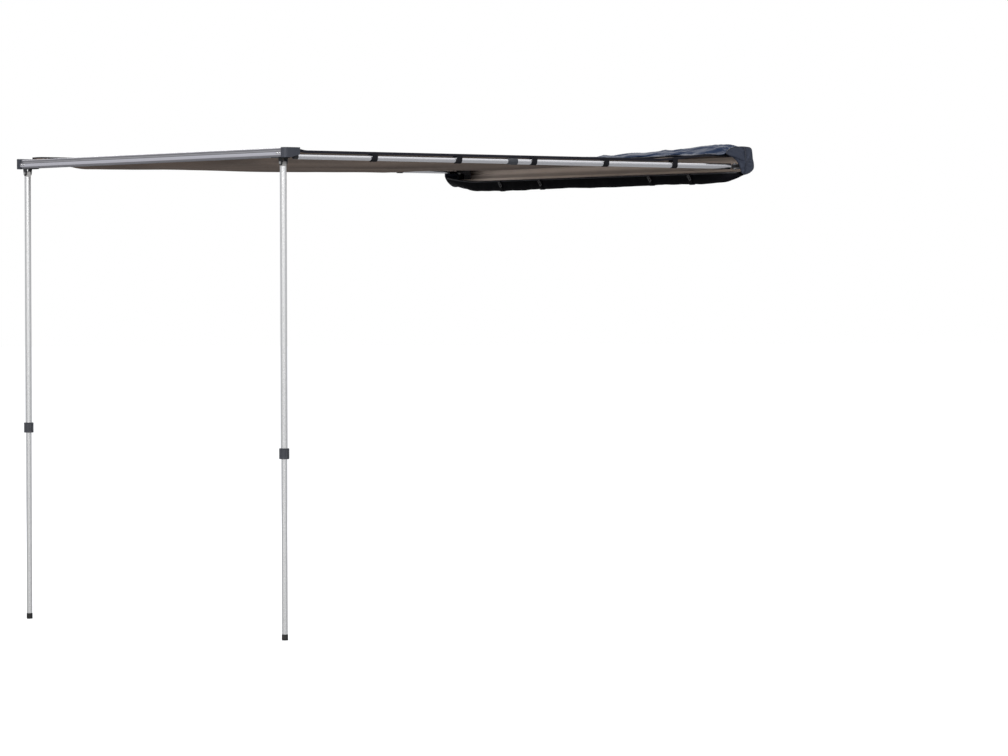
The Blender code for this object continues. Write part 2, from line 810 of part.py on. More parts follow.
def add_leg(side, beam_frame):
    """A folding leg: hinge head, upper tube, twist lock, lower tube and foot."""
    x = leg_x(side)
    lane = LEG_LANE[side]
    origin = (x, lane, LEG_PIVOT_Z)
    ground = (x, lane, GROUND_Z)
    up = (0, 0, 1)
    swing = add_frame("leg_%s_frame" % side, origin)
    swing.parent = beam_frame
    swing.matrix_parent_inverse = Matrix.Translation(-beam_frame.location)
    slide = add_frame("leg_%s_lower_frame" % side, ground)
    slide.parent = swing
    slide.matrix_parent_inverse = Matrix.Translation(-swing.location)
    add_leg_head(side, origin, LEG_HEAD_DROP, swing)
    lock_top = LEG_LOCK_LOW[side] + LEG_LOCK_LENGTH
    tube_top = LEG_PIVOT_Z - GROUND_Z - LEG_HEAD_DROP
    upper = tube(ground, up, LEG_UPPER_R, LEG_UPPER_BORE, lock_top + GAP, tube_top)
    add_piece("leg_%s_upper_tube" % side, upper, "tube", origin, True, swing)
    down = (0, 0, -1)
    lock_place = (x, lane, GROUND_Z + lock_top)
    lock = twist_lock(
        lock_place, down, LEG_LOWER_R + GAP, LEG_LOCK_R, 0, LEG_LOCK_LENGTH, 14, LEG_LOCK_FORM
    )
    add_piece("leg_%s_twist_lock" % side, lock, "black_plastic", lock_place, False, swing)
    floor = 5 * MM
    lower = tube(ground, up, LEG_LOWER_R, LEG_LOWER_BORE, floor + GAP, LEG_LOWER_TOP)
    add_piece("leg_%s_lower_tube" % side, lower, "tube", ground, True, slide)
    profile = [
        (0, 0),
        (11.5 * MM, 0),
        (13.2 * MM, 2 * MM),
        (13.2 * MM, LEG_FOOT_HEIGHT - 2 * MM),
        (12.6 * MM, LEG_FOOT_HEIGHT),
        (LEG_LOWER_R + GAP, LEG_FOOT_HEIGHT),
        (LEG_LOWER_R + GAP, floor),
        (0, floor),
    ]
    foot = turned(profile, ground, up)
    add_piece("leg_%s_foot" % side, foot, "rubber", ground, True, slide)


def add_leg_head(side, origin, drop, parent):
    """The moulded head that turns on the hinge pin, with a plug in the top of the upper tube."""
    x, lane, z = origin
    half = EAR_HALF_GAP - 0.4 * MM
    outline = arc((x, z), 10 * MM, 0, 180, 12)
    outline += [(x - 9.5 * MM, z - drop + 2 * MM), (x + 9.5 * MM, z - drop + 2 * MM)]
    head = add_piece(
        "leg_%s_head" % side,
        prism(outline, "y", lane - half, lane + half),
        "grey_plastic",
        origin,
        parent=parent,
    )
    plug = [
        (0, -drop + 2.6 * MM),
        (10 * MM, -drop + 2.6 * MM),
        (LEG_UPPER_R, -drop + 1.5 * MM),
        (LEG_UPPER_R, -drop + GAP),
        (LEG_UPPER_BORE - GAP, -drop + GAP),
        (LEG_UPPER_BORE - GAP, -drop - 24 * MM),
        (0, -drop - 24 * MM),
    ]
    join(head, turned(list(reversed(plug)), origin, (0, 0, 1)))
    hole = turned(
        [(0, -20 * MM), (PIN_HOLE_R, -20 * MM), (PIN_HOLE_R, 20 * MM), (0, 20 * MM)],
        origin,
        (0, 1, 0),
        16,
    )
    cut(head, hole)


def add_ties(side):
    """Hook-and-loop ties, sewn to the canopy's hem and closed round the arm."""
    origin = (pivot_x(side), PIVOT_Y, ARM_LEVEL[side])
    for number, station in enumerate(TIE_STATIONS, 1):
        arm_r = ARM_OUTER_R if station < ARM_TUBE_END else ARM_INNER_R
        band = tube(
            origin,
            arm_direction(),
            arm_r + 2.3 * MM,
            arm_r + 0.7 * MM,
            station - TIE_WIDTH / 2,
            station + TIE_WIDTH / 2,
            14,
        )
        add_piece("canopy_tie_%s_%d" % (side, number), band, "webbing", (0, 0, 0), True)


# Cloth


CANOPY_FRONT = BEAM_OUTER_Y + BEAM_DEPTH
CANOPY_BACK = -34 * MM
HEM_REST = {"near": 4.0 * MM, "far": 30.0 * MM}
CANOPY_LEVEL = 30 * MM
SAG_AT_BEAM = -15 * MM
SAG_AT_RAIL = 3 * MM
SAG_MIDDLE = 9 * MM
FRONT_EASE = 0.10
BACK_START, BACK_EASE = 0.93, 0.16
NEAR_RISE, FAR_RISE = 0.62, 68 * MM
HEM_INSIDE = 15 * MM
FOLD_HEIGHT = 6 * MM
FOLD_REACH = 0.62
FOLD_COUNT = 11
CORNER_CUT_X = HOOD_X - 3 * MM
CORNER_CUT_Y = HOOD_Y + 3 * MM


def canopy_height(x, y):
    """The cloth's middle surface: held level by its two beads, slack between the arms, laid down
    on the near arm, and brought up over the far arm, which is the higher one."""
    share = (y - CANOPY_FRONT) / (CANOPY_BACK - CANOPY_FRONT)
    beads = mix(BEAM_BEAD[1], CANOPY_LEVEL, smooth(share / 0.16))
    slack = smooth(share / FRONT_EASE) * smooth((BACK_START - share) / BACK_EASE)
    arm_x = ARM_SPACING / 2
    near_hem = smooth((x - (arm_x - HEM_INSIDE - NEAR_RISE)) / NEAR_RISE)
    far_hem = smooth((-x - (arm_x - HEM_INSIDE - FAR_RISE)) / FAR_RISE)
    middle = math.cos(min(abs(x) / arm_x, 1.0) * math.pi / 2)
    sagged = mix(SAG_AT_BEAM, SAG_AT_RAIL, share) - SAG_MIDDLE * middle
    height = mix(beads, sagged, slack)
    held = smooth(share / 0.03) * smooth((0.94 - share) / 0.15)
    height = mix(height, mix(beads, HEM_REST["near"], held), near_hem)
    height = mix(height, HEM_REST["far"], far_hem * smooth(share / 0.012))
    run = math.hypot(CANOPY_HALF - x, y - CANOPY_FRONT)
    bearing = math.atan2(y - CANOPY_FRONT, CANOPY_HALF - x)
    fade = smooth(run / 0.12) * smooth((FOLD_REACH - run) / FOLD_REACH)
    fold = FOLD_HEIGHT * math.cos(FOLD_COUNT * bearing) * fade * smooth(share / 0.035)
    return height + fold * (1 - near_hem)


def bead_ring(centre, towards, radius=BEAD_R, count=7):
    """Points round a cloth edge's bead, from above the sheet round to below it."""
    lip = 28
    start = 180 if towards < 0 else 0
    turn = -1 if towards < 0 else 1
    angles = [lip + i * (360 - 2 * lip) / (count - 1) for i in range(count)]
    points = []
    for angle in angles:
        a = math.radians(start + turn * angle)
        points.append((centre[0] + radius * math.cos(a), centre[1] + radius * math.sin(a)))
    return points


def canopy_section(x, rows, edge):
    """The canopy's closed outline at one place along the rail.

    Its front edge is a bead in the beam's groove, a bare edge in the groove's slot, or a hem.
    """
    half = CLOTH / 2
    tucked = {"bead": 1.2 * MM, "slot": 0.6 * MM}
    front = CORNER_CUT_Y if edge == "hem" else CANOPY_FRONT - tucked[edge]
    back = CANOPY_BACK + 1.2 * MM
    lines = []
    for i in range(rows + 1):
        share = i / rows
        eased = mix(share, smooth(share), 0.35)
        y = mix(front, back, eased)
        lines.append((y, canopy_height(x, y)))
    outline = [(y, z + half) for y, z in lines]
    outline += bead_ring(RAIL_BEAD, -1)
    outline += [(y, z - half) for y, z in reversed(lines)]
    if edge == "bead":
        outline += list(reversed(bead_ring(BEAM_BEAD, 1)))
    else:
        end = (front - half - 0.5 * MM, canopy_height(x, front))
        outline += list(reversed(bead_ring(end, 1, half)))
    return [(x, y, z) for y, z in outline]


def add_canopy():
    """One sheet from the rail's groove to the beam's, cut back where the corner mouldings are."""
    columns, rows = 18, 18
    step = 0.6 * MM
    inside = CORNER_CUT_X - 2 * step
    stations = []
    for i in range(columns + 1):
        share = 2 * i / columns - 1
        stations.append((inside * mix(share, math.sin(share * math.pi / 2), 0.6), "bead"))
    outside = [(CORNER_CUT_X - step, "slot")]
    hem_width = CANOPY_HALF - CORNER_CUT_X
    outside += [(CORNER_CUT_X + hem_width * i / 3, "hem") for i in range(4)]
    stations = [(-x, edge) for x, edge in reversed(outside)] + stations + outside
    rings = [canopy_section(x, rows, edge) for x, edge in stations]
    add_piece("canopy", lofted(rings), "canopy_cloth", round_piece=True)


def cloth_strip(stations, profile_at, thickness):
    """A strip of cloth lofted along X, from a middle line given at each station."""
    rings = []
    for x in stations:
        line = [Vector((0, -u, z)) for u, z in profile_at(x)]
        upper, lower = [], []
        for i, point in enumerate(line):
            before = line[max(i - 1, 0)]
            after = line[min(i + 1, len(line) - 1)]
            along = (after - before).normalized()
            normal = Vector((0, -along.z, along.y)) * (thickness / 2)
            upper.append(point + normal)
            lower.append(point - normal)
        ring = upper + list(reversed(lower))
        rings.append([(x, p.y, p.z) for p in ring])
    return lofted(rings)


def curve_through(points, count):
    """Evenly spaced points on a smooth curve through a few guide points."""
    ext = [points[0]] + list(points) + [points[-1]]
    dense = []
    for i in range(1, len(ext) - 2):
        p0, p1, p2, p3 = (Vector(p) for p in ext[i - 1 : i + 3])
        for k in range(12):
            t = k / 12
            a = 2 * p1
            b = (p2 - p0) * t
            c = (2 * p0 - 5 * p1 + 4 * p2 - p3) * t * t
            d = (3 * p1 - p0 - 3 * p2 + p3) * t * t * t
            dense.append((a + b + c + d) / 2)
    dense.append(Vector(points[-1]))
    lengths = [0.0]
    for a, b in zip(dense, dense[1:]):
        lengths.append(lengths[-1] + (b - a).length)
    result = []
    for i in range(count + 1):
        want = lengths[-1] * i / count
        k = 0
        while k < len(dense) - 2 and lengths[k + 1] < want:
            k += 1
        span = lengths[k + 1] - lengths[k]
        result.append(dense[k].lerp(dense[k + 1], (want - lengths[k]) / span))
    return [(p.x, p.y) for p in result]


def trough_guide(x):
    """The cover's lower half: fixed under the rail, hanging down and out to an open lip."""
    end = smooth((abs(x) - 0.80) / 0.20)
    drop = mix(87 * MM, 80 * MM, end) + 1.5 * MM * math.sin(9 * x)
    lip = mix(117 * MM, 121 * MM, end)
    top = -RAIL_HEIGHT / 2 - 2 * GAP - COVER_CLOTH / 2
    return [
        (26 * MM, top),
        (15 * MM, top - 0.3 * MM),
        (7.5 * MM, top - 4 * MM),
        (14 * MM, -46 * MM),
        (42 * MM, -54 * MM),
        (76 * MM, -drop + 14 * MM),
        (102 * MM, -drop),
        (lip - 3 * MM, -drop + 12 * MM),
        (lip, -43 * MM),
    ]


def trough_line(x):
    return curve_through(trough_guide(x), 12)


def strap_line(x):
    """A stow strap's line: round the outside of the cover's lower half and up to its lip."""
    offset = COVER_CLOTH / 2 + GAP + 1.1 * MM
    line = [Vector(p) for p in trough_line(x)][4:]
    moved = []
    for i, point in enumerate(line):
        before = line[max(i - 1, 0)]
        after = line[min(i + 1, len(line) - 1)]
        along = (after - before).normalized()
        moved.append(point + Vector((along.y, -along.x)) * offset)
    return [(p.x, p.y) for p in moved]


def flap_guide(x):
    """The cover's upper half: fixed on the rail's top and thrown forward in a loose roll.

    It stands highest towards the near end and settles again at the very end.
    """
    rise = 24 * MM * smooth((x + 0.30) / 1.05) - 8 * MM * smooth((x - 0.92) / 0.08)
    rise += 9 * MM * smooth((-x - 0.50) / 0.40)
    crest = 46 * MM + rise + 1.2 * MM * math.sin(7 * x + 1)
    top = RAIL_HEIGHT / 2 + 2 * GAP + COVER_CLOTH / 2
    rest = 36 * MM + 1.2 * MM * math.sin(11 * x)
    return [
        (26 * MM, top),
        (15 * MM, top + 0.3 * MM),
        (8 * MM, top + 4 * MM),
        (9 * MM, mix(top, crest, 0.6)),
        (30 * MM, crest - 2 * MM),
        (60 * MM, crest),
        (92 * MM, crest - 8 * MM),
        (118 * MM, mix(crest, rest, 0.5)),
        (140 * MM, rest + 4 * MM),
        (165 * MM, rest + 1 * MM),
        (200 * MM, rest),
    ]


def flap_line(x):
    return curve_through(flap_guide(x), 13)


def cover_end_outline():
    """The cover's rounded end panel, from the side."""
    guide = [
        (0, 30 * MM),
        (3 * MM, 52 * MM),
        (22 * MM, 58 * MM),
        (88 * MM, 56 * MM),
        (114 * MM, 30 * MM),
        (123 * MM, -8 * MM),
        (122 * MM, -50 * MM),
        (114 * MM, -76 * MM),
        (98 * MM, -81 * MM),
        (62 * MM, -66 * MM),
        (30 * MM, -53 * MM),
        (4 * MM, -42 * MM),
        (0, -24 * MM),
    ]
    return [(-u, z) for u, z in curve_through(guide, 30)]


def add_cover():
    half = COVER_HALF
    stations = [mix(-half, half, i / 16) for i in range(17)]
    trough = cloth_strip(stations, trough_line, COVER_CLOTH)
    add_piece("cover_trough", trough, "cover_cloth", round_piece=True)
    flap_half = RAIL_LENGTH / 2 + 2 * MM
    stations = [mix(-flap_half, flap_half, i / 18) for i in range(19)]
    flap = cloth_strip(stations, flap_line, COVER_CLOTH)
    add_piece("cover_flap", flap, "cover_cloth", round_piece=True)
    for side, sign in SIDES.items():
        inner = COVER_HALF + GAP
        low, high = sorted((sign * inner, sign * (inner + COVER_CLOTH)))
        panel = prism(cover_end_outline(), "x", low, high)
        add_piece("cover_end_" + side, panel, "cover_cloth")
    for number, x in enumerate(STRAP_STATIONS, 1):
        ends = (x - STRAP_WIDTH / 2, x, x + STRAP_WIDTH / 2)
        strap = cloth_strip(ends, strap_line, 1.6 * MM)
        add_piece("stow_strap_%d" % number, strap, "webbing")


def build():
    for old in list(bpy.data.objects):
        bpy.data.objects.remove(old, do_unlink=True)
    add_rail()
    add_rack_brackets()
    beam_frame = add_beam()
    for side in SIDES:
        add_pivot_bracket(side)
        add_pivot_bolt(side)
        add_arm(side)
        add_ties(side)
        add_leg(side, beam_frame)
    add_canopy()
    add_cover()


build()
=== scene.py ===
"""Looks of the pull-out side awning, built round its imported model.

The sections follow the awning as it is put together: the rail and what bolts to it, the two
telescopic arms, the leading beam and its legs, the canopy, and last the soft travel cover.
Metres, +Z up. X runs along the rail, near end at +X, and the awning reaches out along -Y.
"""

import math

import bmesh
import bpy
from mathutils import Matrix, Vector, noise


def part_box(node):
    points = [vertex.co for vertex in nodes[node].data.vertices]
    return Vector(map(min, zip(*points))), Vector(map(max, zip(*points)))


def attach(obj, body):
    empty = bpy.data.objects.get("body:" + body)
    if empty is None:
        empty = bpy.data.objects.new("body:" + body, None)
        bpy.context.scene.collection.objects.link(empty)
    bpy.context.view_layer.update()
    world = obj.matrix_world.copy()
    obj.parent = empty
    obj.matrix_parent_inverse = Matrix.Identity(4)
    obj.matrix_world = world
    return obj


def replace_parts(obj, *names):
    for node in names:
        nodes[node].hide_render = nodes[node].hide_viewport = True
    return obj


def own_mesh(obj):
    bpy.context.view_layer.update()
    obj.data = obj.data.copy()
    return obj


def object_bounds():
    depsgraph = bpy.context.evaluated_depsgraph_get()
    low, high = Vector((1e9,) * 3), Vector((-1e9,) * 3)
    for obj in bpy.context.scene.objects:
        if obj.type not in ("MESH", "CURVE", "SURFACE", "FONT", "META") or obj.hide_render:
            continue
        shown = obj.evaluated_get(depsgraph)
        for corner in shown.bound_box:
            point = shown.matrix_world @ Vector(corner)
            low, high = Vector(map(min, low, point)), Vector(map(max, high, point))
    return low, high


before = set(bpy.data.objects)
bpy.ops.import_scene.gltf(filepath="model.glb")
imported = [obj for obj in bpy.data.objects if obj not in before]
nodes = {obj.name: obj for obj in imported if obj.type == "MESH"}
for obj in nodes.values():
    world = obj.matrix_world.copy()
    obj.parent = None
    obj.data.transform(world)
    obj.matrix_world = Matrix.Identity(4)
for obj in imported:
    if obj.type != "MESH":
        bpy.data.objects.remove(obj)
cad_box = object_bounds()
SIDES = {"near": 1, "far": -1}
MM = 0.001


# The studio
# A camera on a long lens looks along the vehicle's side from just under the awning's height. A pale
# floor and an even white sky light it, with one large soft lamp in front and a smaller one behind.
# A grey screen round the back, seen only in reflections, gives the bright tubes their darker edges.

CAMERA_PLACE = (16.325, -13.804, -0.634)
CAMERA_YAW = 141.002
CAMERA_PITCH = -0.849
CAMERA_ROLL = -0.174
CAMERA_LENS = 167.4
MIDDLE_Y = -1.2

camera = bpy.data.objects.new("camera", bpy.data.cameras.new("camera"))
camera.data.lens = CAMERA_LENS
camera.data.clip_end = 400
camera.matrix_world = (
    Matrix.Translation(CAMERA_PLACE)
    @ Matrix.Rotation(math.radians(CAMERA_YAW - 90), 4, "Z")
    @ Matrix.Rotation(math.radians(90 + CAMERA_PITCH), 4, "X")
    @ Matrix.Rotation(math.radians(CAMERA_ROLL), 4, "Z")
)
bpy.context.scene.collection.objects.link(camera)
bpy.context.scene.camera = camera
bpy.context.scene.view_settings.view_transform = "Standard"


def put(tree, kind, values=None, **settings):
    """A shader node with its settings, and its inputs given as values or as sockets to link."""
    node = tree.nodes.new("ShaderNode" + kind)
    for key, value in settings.items():
        setattr(node, key, value)
    for socket, value in (values or {}).items():
        if isinstance(value, bpy.types.NodeSocket):
            tree.links.new(value, node.inputs[socket])
        else:
            node.inputs[socket].default_value = value
    return node


def calc(tree, operation, *values, **settings):
    """A sum on numbers or sockets; returns the outcome's socket."""
    return put(tree, "Math", dict(enumerate(values)), operation=operation, **settings).outputs[0]


def empty_tree(owner):
    """The node tree of a world or material, cleared."""
    owner.use_nodes = True
    owner.node_tree.nodes.clear()
    return owner.node_tree


def new_object(name, bm, material):
    """An object with its finish from a built mesh."""
    mesh = bpy.data.meshes.new(name)
    bm.to_mesh(mesh)
    bm.free()
    mesh.materials.append(material)
    thing = bpy.data.objects.new(name, mesh)
    bpy.context.scene.collection.objects.link(thing)
    return thing


def soft_lamp(name, place, target, size, power):
    lamp = bpy.data.lights.new(name, "AREA")
    lamp.shape = "RECTANGLE"
    lamp.size, lamp.size_y = size
    lamp.energy = power
    thing = bpy.data.objects.new(name, lamp)
    thing.location = place
    thing.rotation_euler = (Vector(target) - Vector(place)).to_track_quat("-Z", "Y").to_euler()
    bpy.context.scene.collection.objects.link(thing)


soft_lamp("front_lamp", (6.5, -9.0, 4.5), (0, MIDDLE_Y, -0.8), (7.0, 5.0), 900)
soft_lamp("back_lamp", (-7.0, 4.0, 5.0), (0, MIDDLE_Y, -0.5), (5.0, 4.0), 350)

world = bpy.data.worlds.new("even_sky")
bpy.context.scene.world = world
tree = empty_tree(world)
seen = put(tree, "LightPath")
shows = calc(tree, "MAXIMUM", seen.outputs["Is Camera Ray"], seen.outputs["Is Glossy Ray"])
shows = calc(tree, "MAXIMUM", shows, seen.outputs["Is Transmission Ray"])
lighting = put(tree, "Background", {"Color": (0.93, 0.96, 1.0, 1), "Strength": 0.62})
backdrop = put(tree, "Background", {"Color": (1, 1, 1, 1), "Strength": 1.0})
choose = put(tree, "MixShader", {0: shows, 1: lighting.outputs[0], 2: backdrop.outputs[0]})
put(tree, "OutputWorld", {"Surface": choose.outputs[0]})

FLOOR_RADIUS = 150
floor_z = cad_box[0].z
floor_material = bpy.data.materials.new("pale_floor")
tree = empty_tree(floor_material)
seen = put(tree, "LightPath")
ground = put(tree, "BsdfDiffuse", {"Color": (0.40, 0.40, 0.40, 1)})
shaded = put(tree, "BsdfDiffuse", {"Color": (0.55, 0.55, 0.56, 1)})
glow = put(tree, "Emission", {"Color": (1, 1, 1, 1), "Strength": 0.75})
white = put(tree, "AddShader", {0: shaded.outputs[0], 1: glow.outputs[0]})
choose = put(
    tree, "MixShader", {0: seen.outputs["Is Camera Ray"], 1: ground.outputs[0], 2: white.outputs[0]}
)
put(tree, "OutputMaterial", {"Surface": choose.outputs[0]})

bm = bmesh.new()
bmesh.ops.create_circle(bm, cap_ends=True, segments=64, radius=FLOOR_RADIUS)
floor = new_object("floor", bm, floor_material)
floor.location.z = floor_z

SCREEN_RADIUS = 14.0
SCREEN_HEIGHT = 9.0
SCREEN_OPENING = 58
SCREEN_PANELS = 40
screen_material = bpy.data.materials.new("grey_screen")
tree = empty_tree(screen_material)
grey = put(tree, "Emission", {"Color": (0.50, 0.505, 0.52, 1), "Strength": 1.0})
put(tree, "OutputMaterial", {"Surface": grey.outputs[0]})
to_camera = math.degrees(math.atan2(CAMERA_PLACE[1] - MIDDLE_Y, CAMERA_PLACE[0]))
bm = bmesh.new()
for i in range(SCREEN_PANELS + 1):
    turn = to_camera + SCREEN_OPENING + (360 - 2 * SCREEN_OPENING) * i / SCREEN_PANELS
    x = SCREEN_RADIUS * math.cos(math.radians(turn))
    y = SCREEN_RADIUS * math.sin(math.radians(turn)) + MIDDLE_Y
    bm.verts.new((x, y, floor_z))
    bm.verts.new((x, y, floor_z + SCREEN_HEIGHT))
bm.verts.ensure_lookup_table()
for i in range(SCREEN_PANELS):
    a = 2 * i
    bm.faces.new([bm.verts[k] for k in (a, a + 2, a + 3, a + 1)])
screen = new_object("reflected_screen", bm, screen_material)
screen.visible_camera = False
screen.visible_diffuse = False
screen.visible_shadow = False
screen.visible_transmission = False


# The base rail
# One aluminium extrusion, satin anodised. The die leaves fine lines along it, and handling has
# rubbed its edges a little brighter. Its back has two undercut bolt tracks.


def new_group(name, inputs):
    """A shader node group that takes a place and the inputs named; returns it and its entry."""
    group = bpy.data.node_groups.new(name, "ShaderNodeTree")
    group.interface.new_socket("Vector", in_out="INPUT", socket_type="NodeSocketVector")
    for label, kind, value in inputs:
        socket = group.interface.new_socket(label, in_out="INPUT", socket_type="NodeSocket" + kind)
        socket.default_value = value
    return group, group.nodes.new("NodeGroupInput")


def end_group(group, **results):
    """Gives a node group its outputs, each a name and the socket it comes from."""
    for label in results:
        group.interface.new_socket(label, in_out="OUTPUT", socket_type="NodeSocketFloat")
    end = group.nodes.new("NodeGroupOutput")
    for label, socket in results.items():
        group.links.new(socket, end.inputs[label])


def use_group(tree, group, values):
    return put(tree, "Group", values, node_tree=group)


def speckle(tree, place, scale, detail):
    """Smooth noise over a piece; returns its socket."""
    return put(tree, "TexNoise", {"Vector": place, "Scale": scale, "Detail": detail}).outputs[0]


def ranged(tree, value, start, end, low, high):
    """A value's stretch from start to end carried over to low and high; returns its socket."""
    return put(tree, "MapRange", {0: value, 1: start, 2: end, 3: low, 4: high}).outputs[0]


# Fine lines along a drawn or extruded metal piece: stretched noise, with broader streaks in it.
drawn_lines, entry = new_group("drawn_lines", [("Stretch", "Vector", (4, 1600, 1600))])
drawn = put(drawn_lines, "VectorMath", {0: entry.outputs[0], 1: entry.outputs[1]}, operation="MULTIPLY")
fine = speckle(drawn_lines, drawn.outputs[0], 1.0, 2.0)
broad = speckle(drawn_lines, drawn.outputs[0], 0.12, 1.0)
both = put(drawn_lines, "Mix", {0: 0.4, 2: fine, 3: broad}, data_type="FLOAT")
end_group(drawn_lines, Tone=both.outputs[0], Height=fine)

# Edges rubbed bright or bare: where a rounded normal leaves the true one, broken up by noise.
edge_rub, entry = new_group("edge_rub", [("Width", "Float", 0.002), ("Amount", "Float", 1.0)])
softened = put(edge_rub, "Bevel", {"Radius": entry.outputs["Width"]}, samples=4)
true_normal = put(edge_rub, "NewGeometry")
normals = {0: softened.outputs[0], 1: true_normal.outputs["Normal"]}
apart = put(edge_rub, "VectorMath", normals, operation="DISTANCE")
patches = ranged(edge_rub, speckle(edge_rub, entry.outputs["Vector"], 60.0, 4.0), 0.38, 0.66, 0.15, 1.3)
rubbed = calc(edge_rub, "MULTIPLY", apart.outputs["Value"], patches)
scaled = calc(edge_rub, "MULTIPLY", rubbed, entry.outputs["Amount"], use_clamp=True)
end_group(edge_rub, Mask=scaled)

# Dust and dried rain: soft clouds, thicker where a surface faces up.
settled_dust, entry = new_group("settled_dust", [("Amount", "Float", 0.2)])
clouds = speckle(settled_dust, entry.outputs["Vector"], 9.0, 6.0)
facing = put(settled_dust, "NewGeometry")
upward = put(settled_dust, "SeparateXYZ", {0: facing.outputs["Normal"]})
lying = ranged(settled_dust, upward.outputs["Z"], -0.3, 1.0, 0.25, 1.0)
laid = calc(settled_dust, "MULTIPLY", ranged(settled_dust, clouds, 0.4, 0.75, 0.0, 1.0), lying)
amount = calc(settled_dust, "MULTIPLY", laid, entry.outputs["Amount"])
end_group(settled_dust, Mask=amount)


def start_material(name):
    """A material with its Principled shader and the piece's own coordinates at hand."""
    material = bpy.data.materials.new(name)
    material.use_nodes = True
    tree = material.node_tree
    return material, tree, tree.nodes["Principled BSDF"], put(tree, "TexCoord").outputs["Object"]


def tinted(colour, factor, lift=0.0):
    """A lighter or darker tone of a colour."""
    return tuple(min(1.0, c * factor + lift) for c in colour)


def blend(tree, share, low, high, how="MIX"):
    """Two colours blended, each given as a colour or as a socket; returns the outcome's socket."""
    ends = [c if isinstance(c, bpy.types.NodeSocket) else (*c, 1) for c in (low, high)]
    values = {0: share, 6: ends[0], 7: ends[1]}
    return put(tree, "Mix", values, data_type="RGBA", blend_type=how).outputs[2]


def raise_pattern(tree, shader, pattern, strength, depth):
    """Lets a pattern stand out of the surface, up to a depth."""
    bump = put(tree, "Bump", {"Strength": strength, "Distance": depth, "Height": pattern})
    tree.links.new(bump.outputs[0], shader.inputs["Normal"])


def metal(name, colour, rough, stretch, line_depth, rub=0.35, dust=0.12, contrast=0.10):
    """Drawn, extruded or plated metal: lines along it, brighter rubbed edges and a little dust."""
    material, tree, shader, place = start_material(name)
    lines = use_group(tree, drawn_lines, {"Vector": place, "Stretch": stretch})
    rubbed = use_group(tree, edge_rub, {"Vector": place, "Width": 0.0015, "Amount": rub})
    dusty = use_group(tree, settled_dust, {"Vector": place, "Amount": dust})
    tone = blend(tree, lines.outputs["Tone"], tinted(colour, 1 - contrast), tinted(colour, 1 + contrast))
    bright = blend(tree, rubbed.outputs[0], tone, (0.86, 0.86, 0.87))
    dulled = blend(tree, dusty.outputs[0], bright, (0.42, 0.40, 0.37))
    tree.links.new(dulled, shader.inputs["Base Color"])
    uneven = 0.7 * contrast
    bumpy = ranged(tree, lines.outputs["Tone"], 0.3, 0.7, rough - uneven, rough + uneven)
    hazy = calc(tree, "ADD", bumpy, dusty.outputs[0], use_clamp=True)
    tree.links.new(hazy, shader.inputs["Roughness"])
    shader.inputs["Metallic"].default_value = 1.0
    raise_pattern(tree, shader, lines.outputs["Height"], 0.25, line_depth)
    return material


def dress(names, material):
    """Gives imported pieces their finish."""
    for name in names:
        nodes[name].data.materials.clear()
        nodes[name].data.materials.append(material)
        nodes[name].data.shade_smooth()
        nodes[name].data.set_sharp_from_angle(angle=math.radians(35))


def paint_shade_bands(material, steps):
    """Paints shade in bands along an extrusion's long faces: each step is a level and how light the finish
    is left there.
    """
    tree = material.node_tree
    shader = tree.nodes["Principled BSDF"]
    plain = shader.inputs["Base Color"].links[0].from_socket
    height = put(tree, "SeparateXYZ", {0: put(tree, "TexCoord").outputs["Object"]}).outputs["Z"]
    ramp = put(tree, "ValToRGB", {0: ranged(tree, height, steps[0][0], steps[-1][0], 0.0, 1.0)})
    span = steps[-1][0] - steps[0][0]
    for number, (level, light) in enumerate(steps):
        share = (level - steps[0][0]) / span
        points = ramp.color_ramp.elements
        if number == 0:
            point = points[0]
        elif number == len(steps) - 1:
            point = points[-1]
        else:
            point = points.new(share)
        point.position = share
        point.color = (light, light, light, 1)
    banded = blend(tree, 1.0, plain, ramp.outputs[0], "MULTIPLY")
    tree.links.new(banded, shader.inputs["Base Color"])


# Painted shade darkens the rail in two long bands, one below its middle and one up to its top.
RAIL_SHADE_BANDS = ((-44, 1.0), (-34, 1.0), (-27, 1.0), (-20, 0.55), (-13, 0.55), (-4, 1.0), (8, 1.0), (18, 0.6))
# The rail's warm tint is painted reflection of the brown canopy above it.
rail_finish = metal("rail_anodised_with_painted_shade", (1.0, 0.80, 0.69), 0.38, (3, 1400, 1400), 0.00002)
paint_shade_bands(rail_finish, [(level * MM, light) for level, light in RAIL_SHADE_BANDS])
dress(["base_rail"], rail_finish)


# Rail end caps and screws
# Black moulded nylon caps push into the rail's ends. Each is held by a button-head screw, and more
# of the same stainless screws fix the arm brackets to the rail's web.


def vary_roughness(tree, shader, pattern, low, high):
    """Lets a pattern carry the roughness from a low to a high value."""
    tree.links.new(ranged(tree, pattern, 0.3, 0.7, low, high), shader.inputs["Roughness"])


def moulded(name, colour, rough, rub=0.2, dust=0.10):
    """Moulded nylon or rubber: a fine spark grain, edges rubbed paler and dust lying on it."""
    material, tree, shader, place = start_material(name)
    grain = speckle(tree, place, 1500.0, 3.0)
    shade = speckle(tree, place, 14.0, 3.0)
    rubbed = use_group(tree, edge_rub, {"Vector": place, "Width": 0.001, "Amount": rub})
    dusty = use_group(tree, settled_dust, {"Vector": place, "Amount": dust})
    mottled = blend(tree, shade, tinted(colour, 0.8), tinted(colour, 1.25))
    worn = blend(tree, rubbed.outputs[0], mottled, tinted(colour, 2.4, 0.03))
    dulled = blend(tree, dusty.outputs[0], worn, (0.30, 0.28, 0.25))
    tree.links.new(dulled, shader.inputs["Base Color"])
    vary_roughness(tree, shader, grain, rough - 0.05, rough + 0.06)
    raise_pattern(tree, shader, grain, 0.5, 0.00008)
    shader.inputs["Specular IOR Level"].default_value = 0.3
    return material


